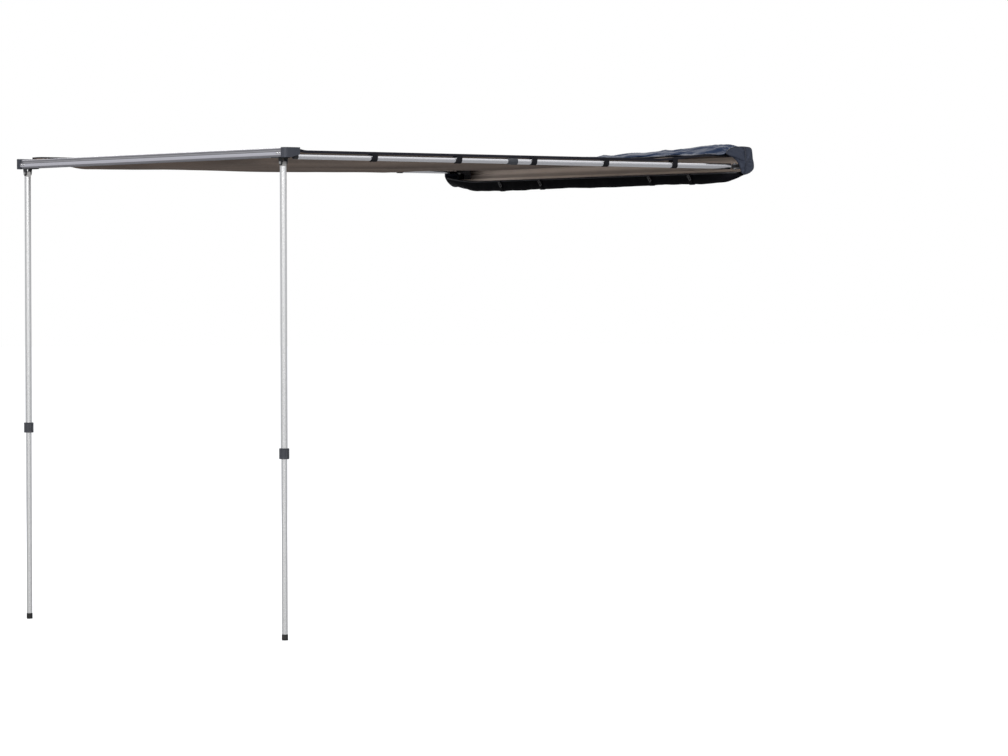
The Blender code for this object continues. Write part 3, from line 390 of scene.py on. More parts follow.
def settle(name, bm, material, body, sharp=35):
    """Makes a built mesh into a piece with its finish, riding on a body."""
    bmesh.ops.recalc_face_normals(bm, faces=bm.faces)
    piece = new_object(name, bm, material)
    piece.data.shade_smooth()
    piece.data.set_sharp_from_angle(angle=math.radians(sharp))
    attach(piece, body)
    return piece


def join_rings(bm, rings):
    """Faces between each closed ring of vertices and the next."""
    for first, second in zip(rings, rings[1:]):
        for i in range(len(first)):
            j = (i + 1) % len(first)
            bm.faces.new((first[i], first[j], second[j], second[i]))


TURNED_SIDES = 24


def stack_rings(bm, rings, place, direction):
    """A turned piece from rings, each a radius and a level in mm; a "hexagon" has six sides."""
    turn = Vector(direction).to_track_quat("Z", "Y").to_matrix()
    rows = []
    for ring in rings:
        radius, level = ring[0] * MM, ring[1] * MM
        row = []
        for i in range(TURNED_SIDES):
            angle = 2 * math.pi * i / TURNED_SIDES
            reach = radius
            if len(ring) == 3:
                reach = radius * math.cos(math.pi / 6) / math.cos((angle % (math.pi / 3)) - math.pi / 6)
            local = Vector((reach * math.cos(angle), reach * math.sin(angle), level))
            row.append(bm.verts.new(Vector(place) + turn @ local))
        rows.append(row)
    join_rings(bm, rows)
    bm.faces.new(rows[0])
    bm.faces.new(rows[-1])


def button_screw(bm, place, direction, radius):
    """A button head with a six-sided socket sunk in its top."""
    tall = 0.5 * radius
    rings = [
        (radius, -0.5),
        (radius, 0.25 * tall),
        (0.86 * radius, 0.66 * tall),
        (0.62 * radius, 0.94 * tall),
        (0.52 * radius, tall),
        (0.46 * radius, tall, "hexagon"),
        (0.46 * radius, 0.15 * tall, "hexagon"),
        (0.1 * radius, 0.10 * tall),
    ]
    stack_rings(bm, rings, place, direction)


black_nylon = moulded("black_nylon", (0.024, 0.024, 0.027), 0.46)
stainless = metal("stainless_screws", (0.58, 0.58, 0.57), 0.34, (900, 900, 900), 0.00001, 0.2, 0.05)
dress(["rail_end_cap_near", "rail_end_cap_far"], black_nylon)
WEB_FACE = -20.3 * MM
bm = bmesh.new()
for side, sign in SIDES.items():
    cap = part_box("rail_end_cap_" + side)
    face_x = cap[1].x if sign > 0 else cap[0].x
    for level in (-19 * MM, 19 * MM):
        button_screw(bm, (face_x, -20 * MM, level), (sign, 0, 0), 3.6)
    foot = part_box("pivot_bracket_" + side)
    for x in (foot[0].x + 5.5 * MM, foot[1].x - 5.5 * MM):
        for level in (foot[0].z + 7 * MM, foot[1].z - 7 * MM):
            button_screw(bm, (x, WEB_FACE, level), (0, -1, 0), 3.4)
settle("rail_screws", bm, stainless, "root")


# Rack brackets and their bolts
# Two angles of 5 mm steel plate, slotted and zinc plated. Carriage bolts run in the rail's tracks
# and pass through the angles, each with a plain washer and a hexagon nut.


PITCH = 1.25
THREAD_DEPTH = 0.45


def threads(radius, start, end):
    """Rings that rise and fall by one thread for each pitch."""
    inner = radius - THREAD_DEPTH
    rings = []
    for i in range(int((end - start) / PITCH)):
        level = start + i * PITCH
        rings += [(radius, level), (radius, level + 0.2 * PITCH), (inner, level + 0.6 * PITCH)]
    return rings + [(inner, end)]


zinc = metal("zinc_plate", (0.60, 0.60, 0.56), 0.36, (300, 300, 300), 0.00002, 0.3, 0.2, 0.18)
dress(["rack_bracket_near", "rack_bracket_far"], zinc)
NUT_CORNER = 7.5
for side in SIDES:
    for row in ("low", "high"):
        node = "rack_bolt_%s_%s" % (side, row)
        low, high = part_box(node)
        bolt = [
            (6.2, low.y / MM),
            (7.0, low.y / MM + 0.8),
            (7.0, -2.8),
            (4.0, -2.8),
            (4.0, 5.6),
            (8.4, 5.6),
            (8.4, 7.0),
            (0.86 * NUT_CORNER, 7.0),
            (NUT_CORNER, 7.6, "hexagon"),
            (NUT_CORNER, 11.6, "hexagon"),
            (0.86 * NUT_CORNER, 12.2),
            (3.9, 12.2),
        ]
        bolt += threads(3.9, 12.3, high.y / MM)
        bm = bmesh.new()
        place = ((low.x + high.x) / 2, 0, (low.z + high.z) / 2)
        stack_rings(bm, bolt, place, (0, 1, 0))
        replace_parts(settle(node + "_with_nut", bm, zinc, "root"), node)


# Arm brackets and pivot bolts
# Glass-filled nylon clevises, screwed to the rail's web. An upright bolt with a lock nut carries
# each arm's eye; the two arms sit at different heights, so that one folds over the other.

grey_nylon = moulded("grey_nylon", (0.135, 0.135, 0.145), 0.48, 0.25, 0.12)
dress(["pivot_bracket_near", "pivot_bracket_far"], grey_nylon)
for side in SIDES:
    node = "pivot_bolt_" + side
    low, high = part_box(node)
    reach = (high.z - low.z) / MM
    bolt = [
        (5.2, 0),
        (6.8, 1.2),
        (7.0, 3.6),
        (3.9, 3.6),
        (3.9, reach - 3.6),
        (0.9 * NUT_CORNER, reach - 3.6),
        (NUT_CORNER, reach - 3.2, "hexagon"),
        (NUT_CORNER, reach - 1.6, "hexagon"),
        (5.6, reach - 1.2),
        (5.2, reach - 0.1),
        (3.6, reach),
    ]
    bm = bmesh.new()
    stack_rings(bm, bolt, ((low.x + high.x) / 2, (low.y + high.y) / 2, low.z), (0, 0, 1))
    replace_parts(settle(node + "_and_nut", bm, stainless, "root"), node)


# The telescopic arms
# Two drawn aluminium tubes each, clear anodised, with a twist lock of ribbed black nylon at the
# outer tube's end. The eye and the hooked tip are nylon plugs driven into the tubes.

DRAWN_ALONG_Y = (1600, 1.5, 1600)
arm_metal = metal("drawn_arm_tube", (0.80, 0.80, 0.83), 0.25, DRAWN_ALONG_Y, 0.000005, 0.02, 0.03, 0.03)
lock_nylon = moulded("lock_nylon", (0.040, 0.043, 0.052), 0.42, 0.3, 0.12)
for side in SIDES:
    dress(["rafter_%s_%s_tube" % (side, which) for which in ("outer", "inner")], arm_metal)
    dress(["rafter_%s_eye" % side, "rafter_%s_tip" % side], black_nylon)
    dress(["rafter_%s_twist_lock" % side], lock_nylon)


# The leading beam and its corners
# A satin anodised extrusion with a set-back brow and an undercut skirt. Moulded corners plug into
# its ends, each held by two button screws through the front, and hook over the arms' tips.

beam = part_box("leading_beam")
beam_finish = metal("beam_anodised_with_painted_shade", (0.86, 0.85, 0.92), 0.36, (3, 1400, 1400), 0.00002)
# Painted shade in bands, from below: dark on the skirt, none on the light rib, dark on the brow, and
# lighter at the top edge.
paint_shade_bands(
    beam_finish,
    (
        (beam[0].z, 0.36),
        (-9 * MM, 0.40),
        (-7 * MM, 0.95),
        (3.5 * MM, 1.0),
        (4.5 * MM, 0.9),
        (6 * MM, 0.36),
        (beam[1].z - 4 * MM, 0.38),
        (beam[1].z, 0.75),
    ),
)
dress(["leading_beam"], beam_finish)
corner_nylon = moulded("corner_nylon", (0.040, 0.043, 0.055), 0.5, 0.3, 0.06)
dress(["beam_corner_near", "beam_corner_far"], corner_nylon)
bm = bmesh.new()
for sign in SIDES.values():
    for inset in (12 * MM, 30 * MM):
        button_screw(bm, (sign * (beam[1].x - inset), beam[0].y, 0.5 * MM), (0, -1, 0), 4.4)
settle("beam_screws", bm, stainless, "beam")


# The legs
# Telescopic like the arms, hinged under the beam on a steel pin in a nylon clevis. A wide ribbed
# collar locks each leg's length, and a black rubber foot closes its end.

DRAWN_ALONG_Z = (1600, 1600, 1.5)
leg_metal = metal("drawn_leg_tube", (0.92, 0.92, 0.922), 0.24, DRAWN_ALONG_Z, 0.000004, 0.02, 0.01, 0.01)
head_nylon = moulded("head_nylon", (0.42, 0.41, 0.40), 0.5, 0.1, 0.15)
rubber = moulded("foot_rubber", (0.020, 0.020, 0.020), 0.78, 0.1, 0.25)
for side in SIDES:
    dress(["leg_bracket_" + side], black_nylon)
    dress(["leg_hinge_pin_" + side], stainless)
    dress(["leg_%s_head" % side], head_nylon)
    dress(["leg_%s_%s_tube" % (side, which) for which in ("upper", "lower")], leg_metal)
    dress(["leg_%s_twist_lock" % side], lock_nylon)
    dress(["leg_%s_foot" % side], rubber)


# The canopy
# One sheet of coated polyester-cotton canvas with a faint check of heavier threads. Beads along its
# two short edges slide into the beam's and the rail's grooves. Its long edges are bound with black
# webbing, lie on the arms and are tied to them. Nothing holds its middle, so it hangs slack.

ARM_X = 0.970
ARM_LEVEL = {"near": -13 * MM, "far": 13 * MM}
CANOPY_FRONT = beam[1].y
CANOPY_BACK = -34 * MM
CANOPY_HALF = 0.985
CLOTH_EDGE = {"near": 0.974, "far": 0.985}
FRONT_LEVEL = 16 * MM
BACK_LEVEL = 30 * MM
HEM_REST = {"near": 4 * MM, "far": 30 * MM}
HEM_INSIDE = 15 * MM
NEAR_RISE, FAR_RISE = 0.62, 68 * MM
SAG_AT_BEAM, SAG_AT_RAIL, SAG_MIDDLE = -15 * MM, 3 * MM, 9 * MM
FRONT_EASE = 0.10
BACK_START, BACK_EASE = 0.93, 0.16
FOLD_HEIGHT, FOLD_REACH, FOLD_COUNT, FOLD_START = 6 * MM, 0.62, 11, 0.12
CORNER_CUT_X = 0.947
CORNER_CUT_Y = -2.449
CANOPY_CLOTH = 1.2 * MM
# Each corner that pulls folds into the slack cloth: its place, the folds' reach, number and height.
CORNER_PULLS = (
    (CANOPY_HALF, CANOPY_FRONT, 1.6, 9, 9 * MM),
    (CANOPY_HALF, CANOPY_FRONT, 1.3, 34, 4 * MM),
    (-CANOPY_HALF, CANOPY_FRONT, 0.75, 13, 5 * MM),
    (CANOPY_HALF, CANOPY_BACK, 0.85, 15, 5 * MM),
    (-CANOPY_HALF, CANOPY_BACK, 0.70, 12, 4 * MM),
)
# Shares of the depth over which each edge still holds the cloth.
BEAD_HOLDS = 0.16
HEM_START, HEM_END, HEM_LEAVES = 0.03, 0.94, 0.15
FAR_HEM_START = 0.012
FOLDS_CLEAR = 0.035
EDGE_HOLDS = 0.05


def mix(a, b, t):
    return a + (b - a) * t


def ease(t):
    t = min(max(t, 0.0), 1.0)
    return t * t * (3 - 2 * t)


def pull_folds(x, y, corner_x, corner_y, reach, count, height):
    """Folds that fan out from a corner that pulls on the cloth, sharp on top and soft below."""
    run = math.hypot(x - corner_x, y - corner_y)
    bearing = math.atan2(abs(y - corner_y), abs(x - corner_x) + 1 * MM)
    fade = ease(run / (0.2 * reach)) * ease((reach - run) / reach)
    ridge = 1 - abs(math.sin(0.5 * count * bearing + 1.3 * math.sin(3 * run)))
    return height * fade * (ridge * ridge - 0.3)


def loose_folds(x, y):
    """The slack middle's own folds: pulls from its corners, long waves and small dents."""
    loose = 0.0
    for pull in CORNER_PULLS:
        loose += pull_folds(x, y, *pull)
    loose += 3.0 * MM * math.sin(6.5 * x + 2.1 * math.sin(2.6 * y)) * math.sin(1.6 * y + 0.6)
    loose += 6.0 * MM * noise.noise(Vector((2.3 * x, 1.5 * y, 0.4)))
    loose += 1.0 * MM * noise.noise(Vector((11 * x, 7 * y, 2.7)))
    return loose


def canopy_height(x, y):
    """The cloth's middle surface: beads level, middle slack, hems laid on the arms."""
    share = (y - CANOPY_FRONT) / (CANOPY_BACK - CANOPY_FRONT)
    beads = mix(FRONT_LEVEL, BACK_LEVEL, ease(share / BEAD_HOLDS))
    slack = ease(share / FRONT_EASE) * ease((BACK_START - share) / BACK_EASE)
    near_hem = ease((x - (ARM_X - HEM_INSIDE - NEAR_RISE)) / NEAR_RISE)
    far_hem = ease((-x - (ARM_X - HEM_INSIDE - FAR_RISE)) / FAR_RISE)
    middle = math.cos(min(abs(x) / ARM_X, 1.0) * math.pi / 2)
    sagged = mix(SAG_AT_BEAM, SAG_AT_RAIL, share) - SAG_MIDDLE * middle
    height = mix(beads, sagged, slack)
    held = ease(share / HEM_START) * ease((HEM_END - share) / HEM_LEAVES)
    height = mix(height, mix(beads, HEM_REST["near"], held), near_hem)
    height = mix(height, HEM_REST["far"], far_hem * ease(share / FAR_HEM_START))
    run = math.hypot(CANOPY_HALF - x, y - CANOPY_FRONT)
    bearing = math.atan2(y - CANOPY_FRONT, CANOPY_HALF - x)
    fade = ease(run / FOLD_START) * ease((FOLD_REACH - run) / FOLD_REACH)
    fold = FOLD_HEIGHT * math.cos(FOLD_COUNT * bearing) * fade * ease(share / FOLDS_CLEAR)
    height += fold * (1 - near_hem)
    free = ease(share / EDGE_HOLDS) * ease((1 - share) / EDGE_HOLDS)
    return height + free * (1 - near_hem) * (1 - far_hem) * loose_folds(x, y)


def thicken(piece, thickness):
    thick = piece.modifiers.new("cloth_thickness", "SOLIDIFY")
    thick.thickness = thickness
    thick.offset = 0


def spread_cloth(name, columns, row_count, place_at, material, slot, thickness, ridge_at):
    """A sheet laid out in columns and rows, with its flat place kept for the weave."""
    bm = bmesh.new()
    flat = bm.verts.layers.float_vector.new("cloth_place")
    ridge = bm.verts.layers.float.new("cloth_ridge")
    grid = []
    for column in columns:
        line = []
        for j in range(row_count + 1):
            point, across, along = place_at(column, j / row_count)
            vert = bm.verts.new(point)
            vert[flat] = Vector((across, along, 0))
            vert[ridge] = ridge_at(across, along)
            line.append(vert)
        grid.append(line)
    for first, second in zip(grid, grid[1:]):
        for j in range(row_count):
            bm.faces.new((first[j], first[j + 1], second[j + 1], second[j]))
    piece = settle(name, bm, material, "root", 60)
    thicken(piece, thickness)
    return piece


def canopy_fold_light(x, y):
    """How far a spot of the canopy is a ridge, 1, painted lighter, or a valley, 0, painted in shade, in
    broad soft bands.
    """
    band = 0.5 + loose_folds(x, y) / (16 * MM)
    band += 0.3 * noise.noise(Vector((1.6 * x + 0.9 * y, 2.6 * y - 1.1 * x, 3.3)))
    return min(max(band, 0.0), 1.0)


def no_ridge(x, y):
    return 0.5


# Threads of a plain weave over and under each other, with a check of heavier ones every so often.
plain_weave, entry = new_group("plain_weave", [("Threads", "Float", 5000.0), ("Check", "Float", 520.0)])
apart = put(plain_weave, "SeparateXYZ", {0: entry.outputs["Vector"]})


def thread_wave(axis, rate, power):
    turned_by = calc(plain_weave, "MULTIPLY", apart.outputs[axis], entry.outputs[rate])
    wave = calc(plain_weave, "SINE", turned_by)
    if power is None:
        return wave
    return calc(plain_weave, "POWER", calc(plain_weave, "ABSOLUTE", wave), power)


over = calc(plain_weave, "MULTIPLY", thread_wave("X", "Threads", None), thread_wave("Y", "Threads", None))
check = calc(plain_weave, "MAXIMUM", thread_wave("X", "Check", 60.0), thread_wave("Y", "Check", 60.0))
raised = calc(plain_weave, "MULTIPLY_ADD", check, 1.5, over)
slubs = put(plain_weave, "VectorMath", {0: entry.outputs["Vector"], 1: (90, 900, 1)}, operation="MULTIPLY")
spun = calc(plain_weave, "MULTIPLY_ADD", over, 0.12, speckle(plain_weave, slubs.outputs[0], 1.0, 3.0))
end_group(plain_weave, Height=raised, Tone=spun)

# Handling and weather on cloth: broad uneven tone and small crushed spots.
weathering, entry = new_group("weathering", [("Size", "Float", 3.0)])
place = entry.outputs["Vector"]
broad = speckle(weathering, place, entry.outputs["Size"], 5.0)
longer = put(weathering, "VectorMath", {0: place, 1: (1.0, 0.6, 1.0)}, operation="MULTIPLY").outputs[0]
crush = put(weathering, "TexNoise", {"Vector": longer, "Scale": 42.0, "Detail": 4.0, "Roughness": 0.6})
end_group(weathering, Tone=broad, Height=crush.outputs[0])


def cloth_skin(name, specular, threads, check, patch_size, crushed, woven):
    """A cloth material with its bumps set, each a strength and a depth; returns what tones it too."""
    material, tree, shader, _ = start_material(name)
    flat = put(tree, "Attribute", attribute_name="cloth_place").outputs["Vector"]
    weave = use_group(tree, plain_weave, {"Vector": flat, "Threads": threads, "Check": check})
    weather = use_group(tree, weathering, {"Vector": flat, "Size": patch_size})
    normal = None
    for (strength, depth), pattern in ((crushed, weather), (woven, weave)):
        values = {"Strength": strength, "Distance": depth, "Height": pattern.outputs["Height"]}
        if normal is not None:
            values["Normal"] = normal
        normal = put(tree, "Bump", values).outputs[0]
    tree.links.new(normal, shader.inputs["Normal"])
    shader.inputs["Specular IOR Level"].default_value = specular
    return material, tree, shader, weather, weave


def woven_cloth(name, colour, rough, spread):
    """Woven cloth with its threads, check, uneven tone and small crushed spots."""
    material, tree, shader, weather, weave = cloth_skin(
        name, 0.15, 5000.0, 520.0, 3.0, (0.6, 0.0006), (0.5, 0.00012)
    )
    patches = weather.outputs["Tone"]
    tone = blend(tree, patches, tinted(colour, 1 - spread), tinted(colour, 1 + spread))
    thready = blend(tree, 0.25, tone, weave.outputs["Tone"], "SOFT_LIGHT")
    tree.links.new(thready, shader.inputs["Base Color"])
    vary_roughness(tree, shader, patches, rough - 0.08, rough + 0.08)
    return material


def paint_fold_shade(material):
    """Paints shade into a cloth's valleys between its folds and a lighter tone onto its ridges."""
    tree = material.node_tree
    shader = tree.nodes["Principled BSDF"]
    unshaded = shader.inputs["Base Color"].links[0].from_socket
    ridge = put(tree, "Attribute", attribute_name="cloth_ridge").outputs["Fac"]
    light = ranged(tree, ridge, 0.0, 1.0, 0.55, 1.45)
    even = put(tree, "CombineColor", {0: light, 1: light, 2: light})
    fold_shaded = blend(tree, 1.0, unshaded, even.outputs[0], "MULTIPLY")
    tree.links.new(fold_shaded, shader.inputs["Base Color"])


canopy_canvas = woven_cloth("canopy_canvas", (0.175, 0.132, 0.106), 0.85, 0.25)
# The canopy's folds get painted shade in their valleys and painted light on their ridges.
paint_fold_shade(canopy_canvas)


def canopy_place(x, share):
    """A point of the canopy, from its front edge (which is cut back at the corners) to its rear."""
    front = CANOPY_FRONT - 1.0 * MM if abs(x) < CORNER_CUT_X else CORNER_CUT_Y
    y = mix(front, CANOPY_BACK + 1.0 * MM, share)
    return Vector((x, y, canopy_height(x, y))), x, y


CANOPY_COLUMNS, MARGIN_COLUMNS, CANOPY_ROWS = 200, 8, 220
inside = CORNER_CUT_X - 0.6 * MM
columns = [inside * (2 * i / CANOPY_COLUMNS - 1) for i in range(CANOPY_COLUMNS + 1)]
for side, sign in SIDES.items():
    steps = [i / MARGIN_COLUMNS for i in range(MARGIN_COLUMNS + 1)]
    margin = [sign * mix(CORNER_CUT_X, CLOTH_EDGE[side], t) for t in steps]
    columns = columns + margin if sign > 0 else margin[::-1] + columns
looks = (canopy_canvas, "canopy_cloth", CANOPY_CLOTH, canopy_fold_light)
canopy = spread_cloth("canopy_sheet", columns, CANOPY_ROWS, canopy_place, *looks)
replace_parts(canopy, "canopy")


def sweep(bm, path, section, up):
    """A closed section carried along a path; its first axis points sideways, its second along up."""
    rows = []
    for i, point in enumerate(path):
        before = path[max(i - 1, 0)]
        after = path[min(i + 1, len(path) - 1)]
        along = (after - before).normalized()
        side = along.cross(Vector(up)).normalized()
        over = side.cross(along)
        rows.append([bm.verts.new(point + side * a + over * b) for a, b in section])
    join_rings(bm, rows)
    bm.faces.new(rows[0])
    bm.faces.new(rows[-1])


def swept(name, path, section, up, material, body="root", sharp=50):
    """A piece made of one section carried along a path."""
    bm = bmesh.new()
    sweep(bm, path, section, up)
    return settle(name, bm, material, body, sharp)


def oval(half_wide, half_high, count, squareness=0.5):
    """A rounded section: an ellipse pushed towards a rectangle."""
    points = []
    for i in range(count):
        angle = 2 * math.pi * (i + 0.5) / count
        a, b = math.cos(angle), math.sin(angle)
        a = math.copysign(abs(a) ** squareness, a)
        b = math.copysign(abs(b) ** squareness, b)
        points.append((half_wide * a, half_high * b))
    return points


def flat_strip(wide, thick):
    """The section of a webbing strip, for a sweep whose up points across the strip."""
    a, b = thick / 2, wide / 2
    return [(-a, -b), (-a, b), (a, b), (a, -b)]


def webbing(name, colour):
    """Black polypropylene webbing: a twill of flat threads with paler rubbed high spots."""
    material, tree, shader, place = start_material(name)
    twill = {"Vector": place, "Scale": 320.0, "Distortion": 0.6}
    wave = put(tree, "TexWave", twill, bands_direction="DIAGONAL")
    fuzz = speckle(tree, place, 260.0, 3.0)
    tone = blend(tree, fuzz, colour, tinted(colour, 2.0))
    tree.links.new(tone, shader.inputs["Base Color"])
    vary_roughness(tree, shader, fuzz, 0.75, 0.93)
    raise_pattern(tree, shader, wave.outputs[0], 0.7, 0.0003)
    shader.inputs["Specular IOR Level"].default_value = 0.15
    return material


binding_tape = webbing("binding_tape", (0.010, 0.010, 0.014))
tie_tape = webbing("tie_tape", (0.007, 0.007, 0.009))
HEM_STEPS, BEAD_STEPS = 160, 60
hems = []
for side, sign in SIDES.items():
    path = []
    for i in range(HEM_STEPS + 1):
        y = mix(CORNER_CUT_Y + 1 * MM, CANOPY_BACK - 1 * MM, i / HEM_STEPS)
        lift = 3.2 * MM * ease((i + 2) / 6)
        edge = sign * CLOTH_EDGE[side]
        path.append(Vector((edge, y, canopy_height(edge, y) + lift)))
    binding = oval(1.6 * MM, 5.8 * MM, 12)
    hems.append(swept("canopy_hem_" + side, path, binding, (0, 0, 1), binding_tape))
bead = oval(2.5 * MM, 2.5 * MM, 12, squareness=1.0)
for name, body, y, level, half in (
    ("canopy_front_bead", "beam", CANOPY_FRONT - 4.5 * MM, FRONT_LEVEL, CORNER_CUT_X - 2 * MM),
    ("canopy_back_bead", "root", CANOPY_BACK + 5 * MM, BACK_LEVEL, CLOTH_EDGE["near"] - 2 * MM),
):
    path = [Vector((mix(-half, half, i / BEAD_STEPS), y, level)) for i in range(BEAD_STEPS + 1)]
    hems.append(swept(name, path, bead, (0, 0, 1), binding_tape, body))
for piece in [canopy] + hems[:2]:
    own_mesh(piece)


# Canopy ties
# Black webbing with hook-and-loop faces, 28 mm wide and 1.4 mm thick. Each is sewn to the side
# hem, taken round under the arm's outer tube and closed against the canopy again.

TIE_STATIONS = (0.357, 0.747, 1.146, 1.552, 1.996)
PIVOT_Y = -65 * MM
TIE_WIDE, TIE_THICK = 28 * MM, 1.4 * MM
TIE_RADIUS = 14.0 * MM
BEND_STEPS = 18
section = flat_strip(TIE_WIDE, TIE_THICK)
for side, sign in SIDES.items():
    for number, station in enumerate(TIE_STATIONS, 1):
        y = PIVOT_Y - station
        level = ARM_LEVEL[side]
        top = canopy_height(sign * CANOPY_HALF, y) + 4 * MM
        inner_top = canopy_height(sign * (ARM_X - TIE_RADIUS), y) - 1.6 * MM
        line = [Vector((sign * (ARM_X + TIE_RADIUS + 1.6 * MM), y, top))]
        for i in range(BEND_STEPS + 1):
            angle = math.pi * i / BEND_STEPS
            x = ARM_X + TIE_RADIUS * math.cos(angle)
            line.append(Vector((sign * x, y, level - TIE_RADIUS * math.sin(angle))))
        line.append(Vector((sign * (ARM_X - TIE_RADIUS), y, max(inner_top, level + 2 * MM))))
        tie = swept("tie_%s_%d" % (side, number), line, section, (0, 1, 0), tie_tape, sharp=40)
        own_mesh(tie)
        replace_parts(tie, "canopy_tie_%s_%d" % (side, number))


# The travel cover
# A sleeve of navy PVC-coated polyester, opened along its zip. The lower half is clamped under the
# rail and hangs below it as a trough; the upper half is clamped on top and thrown forward in a
# loose roll over the canopy. Round end panels are sewn on with piping.

GAP = 0.3 * MM
COVER_CLOTH = 2.5 * MM
# Level in mm of a panel's middle where it is clamped on the rail, 35 mm from the rail's middle.
RAIL_FACE = 35 + (2 * GAP + COVER_CLOTH / 2) / MM
COVER_SKIN = 1.6 * MM
COVER_ROWS = 56
COVER_HALF = 1.005
FLAP_HALF = 1.002


def curve_through(points, count):
    """Evenly spaced points on a smooth curve through a few guide points."""
    ext = [points[0]] + list(points) + [points[-1]]
    dense = []
    for i in range(1, len(ext) - 2):
        p0, p1, p2, p3 = (Vector(p) for p in ext[i - 1 : i + 3])
        for k in range(12):
            t = k / 12
            linear = (p2 - p0) * t
            square = (2 * p0 - 5 * p1 + 4 * p2 - p3) * t * t
            cube = (3 * p1 - p0 - 3 * p2 + p3) * t * t * t
            dense.append((2 * p1 + linear + square + cube) / 2)
    dense.append(Vector(points[-1]))
    lengths = [0.0]
    for a, b in zip(dense, dense[1:]):
        lengths.append(lengths[-1] + (b - a).length)
    result = []
    k = 0
    for i in range(count + 1):
        want = lengths[-1] * i / count
        while k < len(dense) - 2 and lengths[k + 1] < want:
            k += 1
        span = lengths[k + 1] - lengths[k]
        result.append(dense[k].lerp(dense[k + 1], (want - lengths[k]) / span))
    return result, lengths[-1]


def in_millimetres(pairs):
    """Turns a line's points, each a distance out of the rail and a level, from mm into metres."""
    return [(out * MM, level * MM) for out, level in pairs]


# Where the lower panel's line ends up at each end panel.
NEAR_START, NEAR_LIP = ((26, -36.9), (17, -38), (9, -41)), ((33, -47.5), (43, -48), (52, -45), (58, -41))
FAR_START, FAR_LIP = ((26, -36.9), (15, -38), (9, -41)), ((66, -58), (88, -50), (107, -35), (118, -20))
END_LINE = {
    "near": in_millimetres(NEAR_START + ((16, -44), (24, -46)) + NEAR_LIP),
    "far": in_millimetres(FAR_START + ((14, -46), (38, -55)) + FAR_LIP),
}


def rounded(t):
    """A quarter of a circle, from 0 to 1."""
    t = min(max(t, 0.0), 1.0)
    return 1 - math.sqrt(1 - t * t)


def trough_guide(x):
    """The lower panel's line: its far end curls up, and both ends close in to the end panels."""
    end = ease((abs(x) - 0.80) / 0.20)
    drop = mix(87, 80, end) + 1.5 * math.sin(9 * x)
    lip = mix(117, 121, end)
    line = [(26, -RAIL_FACE), (15, -RAIL_FACE - 0.3), (7.5, -RAIL_FACE - 4), (14, -46), (42, -54)]
    line += [(76, -drop + 14), (102, -drop), (lip - 3, -drop + 12), (lip, -43)]
    side = "near" if x > 0 else "far"
    close = rounded((x - 0.945) / 0.06) if x > 0 else max(0.0, (-x - 0.78) / 0.225) ** 1.5
    pairs = zip(in_millimetres(line), END_LINE[side])
    return [(mix(u, end_u, close), mix(z, end_z, close)) for (u, z), (end_u, end_z) in pairs]


def flap_guide(x):
    """The flap's line: off the rail's top, up to a crest and down onto the canopy."""
    rise = 24 * ease((x + 0.30) / 1.05) - 8 * ease((x - 0.92) / 0.08)
    rise += 8 * ease((x - 0.62) / 0.22)
    rise += 9 * ease((-x - 0.50) / 0.40)
    crest = 46 + rise + 1.2 * math.sin(7 * x + 1)
    rest = 36 + 1.2 * math.sin(11 * x)
    crest = mix(crest, rest + 19, rounded((x - 0.94) / 0.063))
    line = [(26, RAIL_FACE), (15, RAIL_FACE + 0.3), (8, RAIL_FACE + 4), (9, mix(RAIL_FACE, crest, 0.6))]
    line += [(30, crest - 2), (60, crest), (92, crest - 8), (118, mix(crest, rest, 0.5))]
    return in_millimetres(line + [(140, rest + 4), (165, rest + 1), (200, rest)])


def crumple(x, along, coarse, fine):
    """How far a sheet is pushed off its smooth line: slanted creases and small dents."""
    slanted = Vector((3.4 * x + 6 * along, 9 * along - 1.7 * x, 0.7))
    crease = 1 - 2 * abs(noise.noise(slanted * 2.0))
    dents = noise.noise(Vector((17 * x, 30 * along, 5.1)))
    return coarse * crease * crease + fine * dents


def folded_sheet(guide, coarse, fine, clamp):
    """A place function for cloth hung from the rail on the guide's line, crumpled past the clamp."""
    lines = {}

    def place(x, share):
        if x not in lines:
            lines[x] = curve_through(guide(x), COVER_ROWS)
        points, length = lines[x]
        k = round(share * COVER_ROWS)
        before, after = points[max(k - 1, 0)], points[min(k + 1, COVER_ROWS)]
        slope = (after - before).normalized()
        free = ease((share * length - clamp) / (40 * MM))
        push = crumple(x, share * length, coarse, fine) * free
        spot = points[k] + Vector((slope.y, -slope.x)) * push
        return Vector((x, -spot.x, spot.y)), x, share * length

    return place


def coated_cloth(name, colour, rough, highlight, specular):
    """PVC-coated polyester: a smooth skin over a faint weave, its colour broken by patches of a lighter
    painted highlight.
    """
    material, tree, shader, weather, _ = cloth_skin(
        name, specular, 3600.0, 1.0, 5.0, (0.8, 0.0012), (0.35, 0.00008)
    )
    tone = blend(tree, weather.outputs["Tone"], colour, highlight)
    tree.links.new(tone, shader.inputs["Base Color"])
    vary_roughness(tree, shader, weather.outputs["Height"], rough - 0.08, rough + 0.1)
    return material


# Each cover finish's second, lighter colour is painted highlight; on the flap it stands in for glossy
# reflections, as its specular is nearly off.
trough_pvc = coated_cloth("trough_pvc", (0.0015, 0.0015, 0.002), 0.55, (0.004, 0.004, 0.006), 0.05)
flap_pvc = coated_cloth("flap_pvc", (0.004, 0.011, 0.034), 0.42, (0.026, 0.044, 0.092), 0.01)
end_pvc = coated_cloth("end_pvc", (0.014, 0.018, 0.034), 0.38, (0.078, 0.090, 0.124), 0.2)
piping_pvc = coated_cloth("piping_pvc", (0.014, 0.016, 0.026), 0.38, (0.030, 0.034, 0.050), 0.3)


def cover_sheet(name, half, count, place_at, material):
    """A long panel of the cover; returns it and the places of its columns."""
    columns = [mix(-half, half, i / count) for i in range(count + 1)]
    sheet = spread_cloth(name, columns, COVER_ROWS, place_at, material, "cover_cloth", COVER_SKIN, no_ridge)
    return sheet, columns


